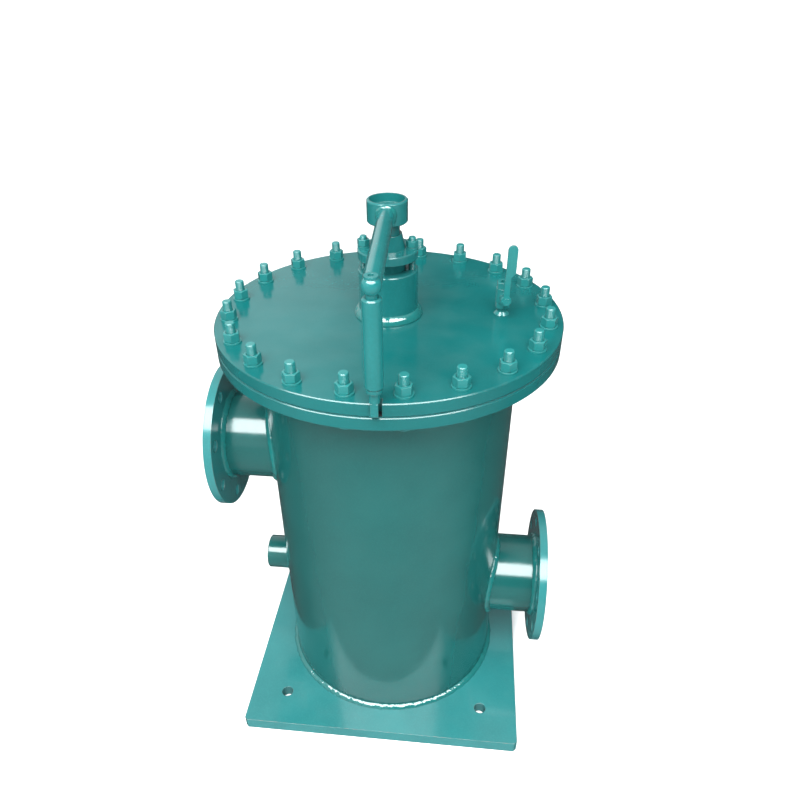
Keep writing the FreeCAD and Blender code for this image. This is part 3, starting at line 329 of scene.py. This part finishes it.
# %% [markdown]
# Rubber sheet is a dull near-black with a fine skin, and the spray has painted its
# outer edge, which shows between the flange and the cover. The shoes are milled from
# white polyethylene, which lets a little light in under its waxy skin.

# %% Rubber and plastic
SPRAY_EDGE = 1 * MM  # width over which the spray ends
SPRAY_MOST = 0.85
GLOW_DEPTH = 2 * MM
SOFT_PATCH = 20 * MM
SKIN_HEIGHT = 0.05 * MM


def plain_stuff(name, dark, light, grain, roughness, glow=0.0, sprayed_from=None):
    """A non-metal with a cloudy tone and a fine skin; paint covers it past a radius."""
    material, tree, shader, place = new_material(name)
    tone = add(tree, "ShaderNodeMix",
               {SHARE: patches(tree, place, grain, 4.0), BELOW: colour(dark),
                ABOVE: colour(light)}, **COLOUR_MIX)
    if sprayed_from:
        flat = add(tree, "ShaderNodeMapping", {"Vector": place, "Scale": (1, 1, 0)})
        radius = add(tree, "ShaderNodeVectorMath", {0: flat}, "Value", operation="LENGTH")
        paint = add(tree, "ShaderNodeMapRange",
                    {"Value": radius, "From Min": sprayed_from,
                     "From Max": sprayed_from + SPRAY_EDGE, "To Max": SPRAY_MOST})
        tone = add(tree, "ShaderNodeMix",
                   {SHARE: paint, BELOW: tone, ABOVE: colour(TEAL_AS_LIT_ON_COVER)}, **COLOUR_MIX)
    fill(tree, shader, {
        "Base Color": tone,
        "Roughness": patches(tree, place, SOFT_PATCH, 2.0, ends=roughness),
        "Subsurface Weight": glow,
        "Subsurface Scale": GLOW_DEPTH,
        "Normal": bumps(tree, place, grain, 4.0, SKIN_HEIGHT)})
    return material


gasket_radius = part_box("cover_gasket")[1].x
rubber = plain_stuff("gasket_rubber_calendered", "#151515", "#26272A", 1.5 * MM, (0.6, 0.8),
                     sprayed_from=gasket_radius - 2 * MM)
shoe_plastic = plain_stuff("polyethylene_milled", "#D9D8CF", "#EDECE4", 3 * MM, (0.35, 0.5),
                           glow=0.15)
print("gasket radius", round(gasket_radius, 4))

# %% [markdown]
# Packing is a square braid of greased yarn. It could be modelled strand by strand, but
# it is hidden in its box, so a wave that crosses at a slant gives its plait.

# %% Packing yarn
PLAIT = 3 * MM


def braided_packing():
    """Greased yarn in two tones, with the ridges of its plait."""
    material, tree, shader, place = new_material("packing_yarn_braided")
    slant = add(tree, "ShaderNodeMapping", {"Vector": place, "Rotation": (0.6, 0.6, 0.8)})
    plait = add(tree, "ShaderNodeTexWave",
                {"Vector": slant, "Scale": 1 / PLAIT, "Distortion": 1.5}, "Fac")
    fill(tree, shader, {
        "Base Color": add(tree, "ShaderNodeMix",
                          {SHARE: plait, BELOW: colour("#4E4636"), ABOVE: colour("#A59A7D")},
                          **COLOUR_MIX),
        "Roughness": 0.65,
        "Normal": add(tree, "ShaderNodeBump", {"Height": plait, "Distance": PLAIT / 10})})
    return material


packing = braided_packing()
print("materials so far:", len(bpy.data.materials))

# %% [markdown]
# Each solid keeps its shape and gets the finish of its ground. One list names them
# all, and the loop stops the script if a solid has been forgotten.

# %% Dress the solids
finishes = {
    enamel_on_pipe: ["vessel_shell", "inlet_pipe", "outlet_pipe", "drain_socket"],
    enamel_on_plate: ["base_plate", "inlet_flange", "outlet_flange"],
    enamel_on_cover: ["cover_plate", "body_flange"],
    enamel_on_weld: ["base_weld", "flange_weld", "inlet_weld", "inlet_flange_weld",
                     "outlet_weld", "outlet_flange_weld", "drain_weld", "stuffing_box_weld",
                     "crank_arm_weld"],
    enamel_on_bolts: ["cover_bolts", "cover_washers", "cover_nuts", "gland_studs",
                      "gland_washers", "gland_nuts", "boss_set_screw", "vent_lever_nut",
                      "vent_nipple", "vent_packing_nut", "vent_stem", "vent_lever",
                      "vent_valve_body"],
    enamel_on_crank: ["gland", "stuffing_box", "crank_shaft", "boss_key", "crank_boss",
                      "crank_arm", "grip_spindle", "spindle_collar", "grip_sleeve"],
    stainless: ["drain_riser", "foot_housing", "thrust_ring", "screen_seat",
                "screen_bottom_ring", "screen_top_ring", "screen_rods", "screen_wires",
                "rotor_tube", "suction_pipes", "rotor_head"],
    bronze: ["foot_bush", "shaft_bush"],
    plated_ball: ["vent_ball"],
    rubber: ["cover_gasket"],
    packing: ["packing_rings"],
    shoe_plastic: ["suction_shoes"],
}
for material, nodes in finishes.items():
    for node in nodes:
        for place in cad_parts[node].material_slots:
            place.material = material
dressed = {node for nodes in finishes.values() for node in nodes}
assert dressed == set(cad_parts), set(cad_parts) ^ dressed
print("solids dressed:", len(dressed))

# %% [markdown]
# A new piece is built point by point in a mesh, because its shape follows a rule that
# no ready-made form has. One function turns the finished mesh into an object that
# rides on its body and stands for the solid, which it hides.


def finish_piece(name, mesh_builder, material, body, node):
    """Makes an object from a bmesh, puts it on its body and hides the solid it stands for."""
    bmesh.ops.recalc_face_normals(mesh_builder, faces=mesh_builder.faces)
    mesh = bpy.data.meshes.new(name)
    mesh_builder.to_mesh(mesh)
    mesh_builder.free()
    piece = bpy.data.objects.new(name, mesh)
    bpy.context.scene.collection.objects.link(piece)
    mesh.materials.append(material)
    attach(piece, body)
    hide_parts(node)
    print(name, "faces:", len(mesh.polygons))
    return piece


def bridge_rings(mesh_builder, rings, close_length=False, smooth=True):
    """Joins rings of equal length with faces, and the last to the first on demand."""
    pairs = list(zip(rings, rings[1:]))
    if close_length:
        pairs.append((rings[-1], rings[0]))
    for first, second in pairs:
        for index in range(len(first)):
            following = (index + 1) % len(first)
            face = mesh_builder.faces.new(
                (first[index], first[following], second[following], second[index]))
            face.smooth = smooth


# %% [markdown]
# A fillet weld is laid by hand in overlapping puddles. Each puddle freezes as a
# crescent, so the bead looks like a row of scales, with feet that wander a little and
# a belly that swells. The paint runs glossy over it, and every scale catches a glint.
# A bent tube with a bump map would keep straight feet, so the bead is a mesh: at each
# step along the joint the two surfaces give the directions of the two legs, and a
# bowed line of points goes from foot to foot.

# %% The weld bead
PUDDLE = 6.5 * MM
STEPS_PER_PUDDLE = 5
BOW_POINTS = 9
BOW = 0.16  # how far the belly stands out, as a share of the leg
SCALE_DEPTH = 0.085  # how deep the step between two puddles is, as a share of the leg
FOOT_WANDER = 0.6 * MM
SWELL = (0.6, 1.3)  # least and most swell of a puddle's belly
CRESCENT = 0.45  # how far the middle of a puddle runs ahead of its feet, in puddles
SCALE_FALL = 1.5


def weld_bead(name, joint, along_length, first_leg, second_leg, body, node, rough=1.0):
    """joint(share) gives a corner point and the two surfaces' normals there."""
    rng = random.Random(name)
    puddles = round(along_length / PUDDLE)
    wander = [(rng.uniform(-1, 1), rng.uniform(-1, 1), rng.uniform(*SWELL))
              for _ in range(puddles)]
    mesh_builder = bmesh.new()
    rings = []
    steps = puddles * STEPS_PER_PUDDLE
    for step in range(steps):
        corner, normal_a, normal_b = joint(step / steps)
        leg_a = (normal_b - normal_a * normal_a.dot(normal_b)).normalized()
        leg_b = (normal_a - normal_b * normal_a.dot(normal_b)).normalized()
        outward = (leg_a + leg_b).normalized()
        ring = [mesh_builder.verts.new(corner)]
        for number in range(BOW_POINTS):
            share = number / (BOW_POINTS - 1)
            belly = 4 * share * (1 - share)
            run = step / STEPS_PER_PUDDLE - CRESCENT * belly
            which = math.floor(run) % puddles
            phase = run - math.floor(run)
            foot_a, foot_b, swell = wander[which]
            reach_a = first_leg + FOOT_WANDER * rough * foot_a
            reach_b = second_leg + FOOT_WANDER * rough * foot_b
            point = leg_a * (reach_a * (1 - share)) + leg_b * (reach_b * share)
            leg = (first_leg + second_leg) / 2
            scale = SCALE_DEPTH * rough * swell * (1 - phase) ** SCALE_FALL
            bow = BOW * (1 + rough * (swell - 1))
            point += outward * leg * belly * (bow - scale)
            ring.append(mesh_builder.verts.new(corner + point))
        rings.append(ring)
    bridge_rings(mesh_builder, rings, close_length=True)
    return finish_piece(name, mesh_builder, enamel_on_weld, body, node)


# %% [markdown]
# Three kinds of joint carry a bead: a ring where an upright cylinder meets a level
# plate, a ring where a pipe meets the back of its flange, and a saddle where a branch
# meets an upright cylinder. The saddle's corner line lies on both cylinders, so its
# distance along the branch follows from the two radii.

# %% The three joints
def level_ring(radius, height, faces_up):
    """A ring round an upright cylinder, on a plate that faces up or down."""
    plate_normal = Vector((0, 0, 1 if faces_up else -1))

    def joint(share):
        angle = 2 * math.pi * share
        out = Vector((math.cos(angle), math.sin(angle), 0))
        return out * radius + Vector((0, 0, height)), plate_normal, out

    return joint


def flange_ring(radius, across, height, faces):
    """A ring round a level pipe; faces is +1 or -1 for the flange's side along X."""
    def joint(share):
        angle = 2 * math.pi * share
        out = Vector((0, math.cos(angle), math.sin(angle)))
        return out * radius + Vector((across, 0, height)), Vector((faces, 0, 0)), out

    return joint


def saddle(cylinder, branch, height, turn):
    """The line where a level branch meets an upright cylinder, turned about Z."""
    turning = Matrix.Rotation(turn, 3, "Z")

    def joint(share):
        angle = 2 * math.pi * share
        side = branch * math.cos(angle)
        along = math.sqrt(cylinder ** 2 - side ** 2)
        corner = Vector((along, side, height + branch * math.sin(angle)))
        cylinder_normal = Vector((along, side, 0)).normalized()
        branch_normal = Vector((0, math.cos(angle), math.sin(angle)))
        return turning @ corner, turning @ cylinder_normal, turning @ branch_normal

    return joint


def leg_of(node, seat_node, axis):
    """How far a weld's box stands out past the box of the piece it runs round."""
    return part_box(node)[1][axis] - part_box(seat_node)[1][axis]


print("leg of the shell's welds:", round(leg_of("base_weld", "vessel_shell", 0), 4))

# %% Lay the beads
shell_leg = leg_of("base_weld", "vessel_shell", 0)
weld_bead("weld_shell_to_base", level_ring(shell_radius, base_top, True),
          2 * math.pi * shell_radius, shell_leg, shell_leg, "vessel", "base_weld")
weld_bead("weld_shell_to_flange", level_ring(shell_radius, flange_low, False),
          2 * math.pi * shell_radius, shell_leg, shell_leg, "vessel", "flange_weld")

box_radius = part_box("stuffing_box")[1].x
weld_low, weld_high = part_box("stuffing_box_weld")
weld_bead("weld_stuffing_box", level_ring(box_radius, cover_top, True),
          2 * math.pi * box_radius, weld_high.x - box_radius, weld_high.z - weld_low.z,
          "vessel", "stuffing_box_weld", rough=0.2)

nozzle_leg = leg_of("inlet_flange_weld", "inlet_pipe", 1)
for name, sign in (("inlet", 1), ("outlet", -1)):
    height = middle_of(name + "_pipe").z
    flange_low_x, flange_high_x = (corner.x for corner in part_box(name + "_flange"))
    back = flange_low_x if sign > 0 else flange_high_x
    turn = 0 if sign > 0 else math.pi
    weld_bead("weld_%s_saddle" % name, saddle(shell_radius, pipe_radius, height, turn),
              2 * math.pi * pipe_radius, nozzle_leg, nozzle_leg, "vessel", name + "_weld")
    weld_bead("weld_%s_flange" % name, flange_ring(pipe_radius, back, height, -sign),
              2 * math.pi * pipe_radius, nozzle_leg, nozzle_leg, "vessel",
              name + "_flange_weld")

drain_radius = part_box("drain_socket")[1].y
drain_leg = leg_of("drain_weld", "drain_socket", 1)
weld_bead("weld_drain_saddle",
          saddle(shell_radius, drain_radius, middle_of("drain_socket").z, math.pi),
          2 * math.pi * drain_radius, drain_leg, drain_leg, "vessel", "drain_weld")

spindle_place = middle_of("grip_spindle")
crank_turn = math.atan2(spindle_place.y, spindle_place.x)
boss_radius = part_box("crank_boss")[1].x
arm_low, arm_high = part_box("crank_arm")
arm_radius = (arm_high.z - arm_low.z) / 2
ARM_LEG = 4 * MM
weld_bead("weld_crank_arm",
          saddle(boss_radius, arm_radius, middle_of("crank_arm").z, crank_turn),
          2 * math.pi * arm_radius, ARM_LEG, ARM_LEG, "crank", "crank_arm_weld")

# %% [markdown]
# A hexagon nut is cut from bar and its corners are turned down at 30 degrees, which
# leaves a round face and a curved shoulder on each flat. The mesh follows that rule:
# round the nut, the radius of the hexagon changes, and the shoulder's height drops
# with the radius. A fitter tightens each nut to its own angle, so each gets a random
# turn from a fixed seed.

# %% Hexagons
FLAT_STEPS = 8
SHOULDER = math.tan(math.radians(30))
FACE_SHARE = 0.95  # the turned face's radius, as a share of half the flats
COUNTERSINK = 1.0 * MM


def hexagon(mesh_builder, centre, flats, low, high, hole, turn, shoulders=(False, True)):
    """A hexagon on an upright axis; hole is the radius of its bore, or None."""
    half = flats / 2
    face_radius = half * FACE_SHARE
    angles = [turn + math.radians(60) * (side + step / FLAT_STEPS)
              for side in range(6) for step in range(FLAT_STEPS)]
    reach = [half / math.cos(((angle - turn) % math.radians(60)) - math.radians(30))
             for angle in angles]

    def ring(radii, heights):
        return [mesh_builder.verts.new((centre.x + radius * math.cos(angle),
                                        centre.y + radius * math.sin(angle), height))
                for angle, radius, height in zip(angles, radii, heights)]

    count = len(angles)
    drop = [(radius - face_radius) * SHOULDER for radius in reach]
    rings = []
    if hole:
        rings.append(ring([hole] * count, [low + COUNTERSINK] * count))
        rings.append(ring([hole + COUNTERSINK] * count, [low] * count))
    if shoulders[0]:
        rings.append(ring([face_radius] * count, [low] * count))
        rings.append(ring(reach, [low + part for part in drop]))
    else:
        rings.append(ring(reach, [low] * count))
    if shoulders[1]:
        rings.append(ring(reach, [high - part for part in drop]))
        rings.append(ring([face_radius] * count, [high] * count))
    else:
        rings.append(ring(reach, [high] * count))
    if hole:
        rings.append(ring([hole + COUNTERSINK] * count, [high] * count))
        rings.append(ring([hole] * count, [high - COUNTERSINK] * count))
    bridge_rings(mesh_builder, rings, close_length=bool(hole), smooth=False)
    if not hole:
        mesh_builder.faces.new(rings[0])
        mesh_builder.faces.new(rings[-1])


print("points round a hexagon:", 6 * FLAT_STEPS)

# %% [markdown]
# A thread is one groove wound round the bar. On the mesh, each point's radius follows
# its height less its share of a turn, so the ridge climbs by one pitch per turn. The
# paint has filled the groove to half its depth and rounded the crest. The last turn
# fades into the chamfered end.

# %% Threaded bars
THREAD_SIDES = 24
RINGS_PER_PITCH = 6
THREAD_DEPTH = 0.3  # half of a bare groove, in pitches, since paint fills the rest
THREAD_CHAMFER = 0.75  # in pitches
CREST_ROUNDING = 1.4


def threaded_bar(mesh_builder, centre, radius, low, high, pitch, plain=0.0):
    """A bar with a painted thread from low plus plain up to high, closed at both ends."""
    depth = pitch * THREAD_DEPTH
    chamfer = pitch * THREAD_CHAMFER
    step = pitch / RINGS_PER_PITCH
    count = math.ceil((high - low - plain) / step)
    heights = [low]
    heights += [low + plain + (high - low - plain) * index / count for index in range(count + 1)]
    if plain == 0.0:
        heights = heights[1:]
    rings = []
    for height in heights:
        ring = []
        for side in range(THREAD_SIDES):
            share = side / THREAD_SIDES
            wave = 0.5 + 0.5 * math.cos(2 * math.pi * (height / pitch - share))
            reach = radius - depth * (1 - wave) ** CREST_ROUNDING
            if height <= low + plain:
                reach = radius
            reach = min(reach, radius - chamfer + (high - height))
            angle = 2 * math.pi * share
            ring.append(mesh_builder.verts.new((centre.x + reach * math.cos(angle),
                                                centre.y + reach * math.sin(angle), height)))
        rings.append(ring)
    bridge_rings(mesh_builder, rings)
    mesh_builder.faces.new(rings[0])
    mesh_builder.faces.new(rings[-1])


print("thread depth in pitches:", THREAD_DEPTH)

# %% [markdown]
# The cover is held by twenty M16 bolts that point upwards. Their places are found from
# the solids themselves: the first lies where the solid's own points say, and the rest
# follow at equal angles. Bolts and nuts are each one piece, as their solids are.

# %% Bolts and nuts of the cover
bolt_low, bolt_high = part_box("cover_bolts")
nut_low, nut_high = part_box("cover_nuts")
BOLTS = 20
BOLT_RADIUS = 8 * MM
BOLT_FLATS = 24 * MM
BOLT_PITCH = 2 * MM
SEED = 20


def bolt_circle(node, count, end_height):
    """The places of a ring of bolts, from the tips' own points."""
    points = [vertex.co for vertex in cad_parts[node].data.vertices
              if abs(vertex.co.z - end_height) < 0.01 * MM]
    first = max(points, key=lambda point: point.x)
    near = [point for point in points if (point - first).length < 2 * BOLT_RADIUS]
    centre = sum(near, Vector()) / len(near)
    centre.z = 0
    return [Matrix.Rotation(2 * math.pi * number / count, 3, "Z") @ centre
            for number in range(count)]


bolt_places = bolt_circle("cover_bolts", BOLTS, bolt_high.z)
print("first bolt at", [round(part, 4) for part in bolt_places[0]])
rng = random.Random(SEED)
bolts = bmesh.new()
nuts = bmesh.new()
for place in bolt_places:
    hexagon(bolts, place, BOLT_FLATS, bolt_low.z, flange_low, None, rng.uniform(0, math.pi),
            shoulders=(True, False))
    threaded_bar(bolts, place, BOLT_RADIUS, flange_low, bolt_high.z, BOLT_PITCH,
                 plain=nut_low.z - flange_low)
    hexagon(nuts, place, BOLT_FLATS, nut_low.z, nut_high.z, BOLT_RADIUS, rng.uniform(0, math.pi),
            shoulders=(True, True))
finish_piece("cover_bolts_threaded", bolts, enamel_on_bolts, "vessel", "cover_bolts")
finish_piece("cover_nuts_chamfered", nuts, enamel_on_bolts, "vessel", "cover_nuts")

# %% Studs and nuts of the gland
STUD_RADIUS = 6 * MM
STUD_FLATS = 18 * MM
STUD_PITCH = 1.75 * MM
stud_low, stud_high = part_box("gland_studs")
gland_nut_low, gland_nut_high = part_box("gland_nuts")
studs = bmesh.new()
gland_nuts = bmesh.new()
for side in (1, -1):
    place = Vector((side * (stud_high.x - STUD_RADIUS), 0, 0))
    threaded_bar(studs, place, STUD_RADIUS, stud_low.z, stud_high.z, STUD_PITCH)
    hexagon(gland_nuts, place, STUD_FLATS, gland_nut_low.z, gland_nut_high.z, STUD_RADIUS,
            rng.uniform(0, math.pi), shoulders=(True, True))
finish_piece("gland_studs_threaded", studs, enamel_on_bolts, "vessel", "gland_studs")
finish_piece("gland_nuts_chamfered", gland_nuts, enamel_on_bolts, "vessel", "gland_nuts")

# %% [markdown]
# The picture was taken outdoors under an overcast sky, from in front and above. One
# bright bank of cloud stood high behind the viewer: it is the white patch on both nozzle
# pipes and on the welds. A single wide lamp gives its matt light on the pot and on the
# plain pale floor. Gloss also mirrors what stands round the pot, and a white floor and
# a square lamp would show there, so both are kept out of mirror images, and the sky
# holds what gloss mirrors.

# %% Floor
FLOOR_HALF = 60.0
FLOOR_GAP = 0.2 * MM
FLOOR_PATCH = 0.5
floor_mesh = bpy.data.meshes.new("floor")
floor_mesh.from_pydata([(-FLOOR_HALF, -FLOOR_HALF, 0), (FLOOR_HALF, -FLOOR_HALF, 0),
                        (FLOOR_HALF, FLOOR_HALF, 0), (-FLOOR_HALF, FLOOR_HALF, 0)],
                       [], [(0, 1, 2, 3)])
floor = bpy.data.objects.new("floor", floor_mesh)
bpy.context.scene.collection.objects.link(floor)
floor.location.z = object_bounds()[0].z - FLOOR_GAP
floor_material, floor_tree, floor_shader, floor_place = new_material("floor_paper_sheet")
floor_share = patches(floor_tree, floor_place, FLOOR_PATCH, 2.0, (0.0, 1.0))
floor_tone = add(floor_tree, "ShaderNodeMix",
                 {SHARE: floor_share, BELOW: colour("#F7F7F7"), ABOVE: colour("#FCFCFC")},
                 **COLOUR_MIX)
fill(floor_tree, floor_shader, {"Base Color": floor_tone, "Roughness": 0.9})
floor_mesh.materials.append(floor_material)
floor.visible_glossy = False
print("floor at", round(floor.location.z, 5))

# %% The cloud's matt light
LAMP_PLACE = (-0.15, -2.0, 3.5)
LAMP_TARGET = (-0.05, 0, 0.6)
LAMP_WIDTH, LAMP_HEIGHT = 3.4, 2.0
LAMP_WATTS = 320
lamp = bpy.data.lights.new("cloud_light", "AREA")
lamp.shape = "RECTANGLE"
lamp.size = LAMP_WIDTH
lamp.size_y = LAMP_HEIGHT
lamp.energy = LAMP_WATTS
cloud_light = bpy.data.objects.new("cloud_light", lamp)
bpy.context.scene.collection.objects.link(cloud_light)
cloud_light.location = LAMP_PLACE
view = Vector(LAMP_TARGET) - Vector(LAMP_PLACE)
cloud_light.rotation_euler = view.to_track_quat("-Z", "Y").to_euler()
cloud_light.visible_glossy = False
print("lamp to pot in metres:", round(view.length, 3))

# %% [markdown]
# Matt light comes evenly from all of the sky. Mirror images show more: the cloud, a sky
# that is light overhead, low down light at the left and dark at the right, where trees
# and walls stood, and a dark yard that is a little lighter in front. Each of these is a
# ramp along one axis of the direction in which the mirror image looks, so a photograph
# of a sky isn't needed, and each ramp can be tuned by itself.

# %% The overcast sky
MATT_SKY = 1.1
OVERHEAD_SKY = 0.75
CLOUD_BRIGHTNESS = 18.0
SKY_RAMPS = {  # axis, where the ramp starts and ends, and its value at both
    "low_sky": ("X", -0.24, -0.02, 0.95, 0.05),
    "overhead": ("Z", 0.52, 0.78, 0.0, 1.0),
    "cloud_front": ("Y", -0.22, -0.30, 0.0, CLOUD_BRIGHTNESS),
    "cloud_foot": ("Z", 0.55, 0.60, 0.0, 1.0),
    "cloud_top": ("Z", 0.91, 0.95, 1.0, 0.0),
    "yard": ("Y", -0.45, 0.1, 0.5, 0.08),
}
world = bpy.data.worlds.new("overcast")
bpy.context.scene.world = world
world.use_nodes = True
sky = world.node_tree
sky.nodes.clear()
direction = add(sky, "ShaderNodeTexCoord", out="Generated")
axes = add(sky, "ShaderNodeSeparateXYZ", {0: direction}, out=None).outputs
ramps = {}
for name, (axis, start, end, first, last) in SKY_RAMPS.items():
    ramps[name] = add(sky, "ShaderNodeMapRange",
                      {"Value": axes[axis], "From Min": start, "From Max": end,
                       "To Min": first, "To Max": last})
print("sky ramps:", list(ramps))

# %% [markdown]
# The ramps are put together from the top down: the sky from its low and its high part,
# the cloud where its three ramps meet, and the yard below the horizon. Rays that
# aren't mirror images see a plain sky instead.

# %% Put the sky together
LOW, HIGH = 2, 3  # sockets of a mix of two numbers
glow = add(sky, "ShaderNodeMix",
           {SHARE: ramps["overhead"], LOW: ramps["low_sky"], HIGH: OVERHEAD_SKY})
cloud = add(sky, "ShaderNodeMath", {0: ramps["cloud_front"], 1: ramps["cloud_foot"]},
            operation="MULTIPLY")
cloud = add(sky, "ShaderNodeMath", {0: cloud, 1: ramps["cloud_top"]}, operation="MULTIPLY")
glow = add(sky, "ShaderNodeMath", {0: glow, 1: cloud}, operation="ADD")
below = add(sky, "ShaderNodeMath", {0: axes["Z"], 1: 0.0}, operation="LESS_THAN")
glow = add(sky, "ShaderNodeMix", {SHARE: below, LOW: glow, HIGH: ramps["yard"]})
mirrored = add(sky, "ShaderNodeLightPath", out="Is Glossy Ray")
glow = add(sky, "ShaderNodeMix", {SHARE: mirrored, LOW: MATT_SKY, HIGH: glow})
daylight = add(sky, "ShaderNodeBackground", {"Color": colour("#FAFCFD"), "Strength": glow})
add(sky, "ShaderNodeOutputWorld", {"Surface": daylight}, out=None)
bpy.context.scene.view_settings.view_transform = "Standard"
print("nodes in the sky:", len(sky.nodes))

# %% [markdown]
# The camera stands where the picture was taken from: its place, tilt and lens were
# fitted to the rims, corners and flanges that can be measured in the picture. The
# picture's middle lies off the lens's axis, which a shift of the film gives.

# %% Camera
IMAGE_SIDE = 800
FOCAL_PIXELS = 695.2
CENTRE_OFFSET = (-10.4, 60.0)
CAMERA_PLACE = Vector((0.1276, -1.1079, 1.3685))
YAW, PITCH, ROLL = -0.1162, 0.6458, -0.0137  # in radians
SENSOR = 36.0

forward = Vector((math.sin(YAW) * math.cos(PITCH), math.cos(YAW) * math.cos(PITCH),
                  -math.sin(PITCH)))
level_right = Vector((math.cos(YAW), -math.sin(YAW), 0))
level_up = level_right.cross(forward)
right = level_right * math.cos(ROLL) + level_up * math.sin(ROLL)
up = level_up * math.cos(ROLL) - level_right * math.sin(ROLL)
camera_data = bpy.data.cameras.new("camera")
camera_data.sensor_width = SENSOR
camera_data.lens = FOCAL_PIXELS / IMAGE_SIDE * SENSOR
camera_data.shift_x = -CENTRE_OFFSET[0] / IMAGE_SIDE
camera_data.shift_y = CENTRE_OFFSET[1] / IMAGE_SIDE
camera = bpy.data.objects.new("camera", camera_data)
bpy.context.scene.collection.objects.link(camera)
camera.matrix_world = Matrix.Translation(CAMERA_PLACE) @ Matrix(
    (right, up, -forward)).transposed().to_4x4()
bpy.context.scene.camera = camera
print("lens in mm:", round(camera_data.lens, 2))
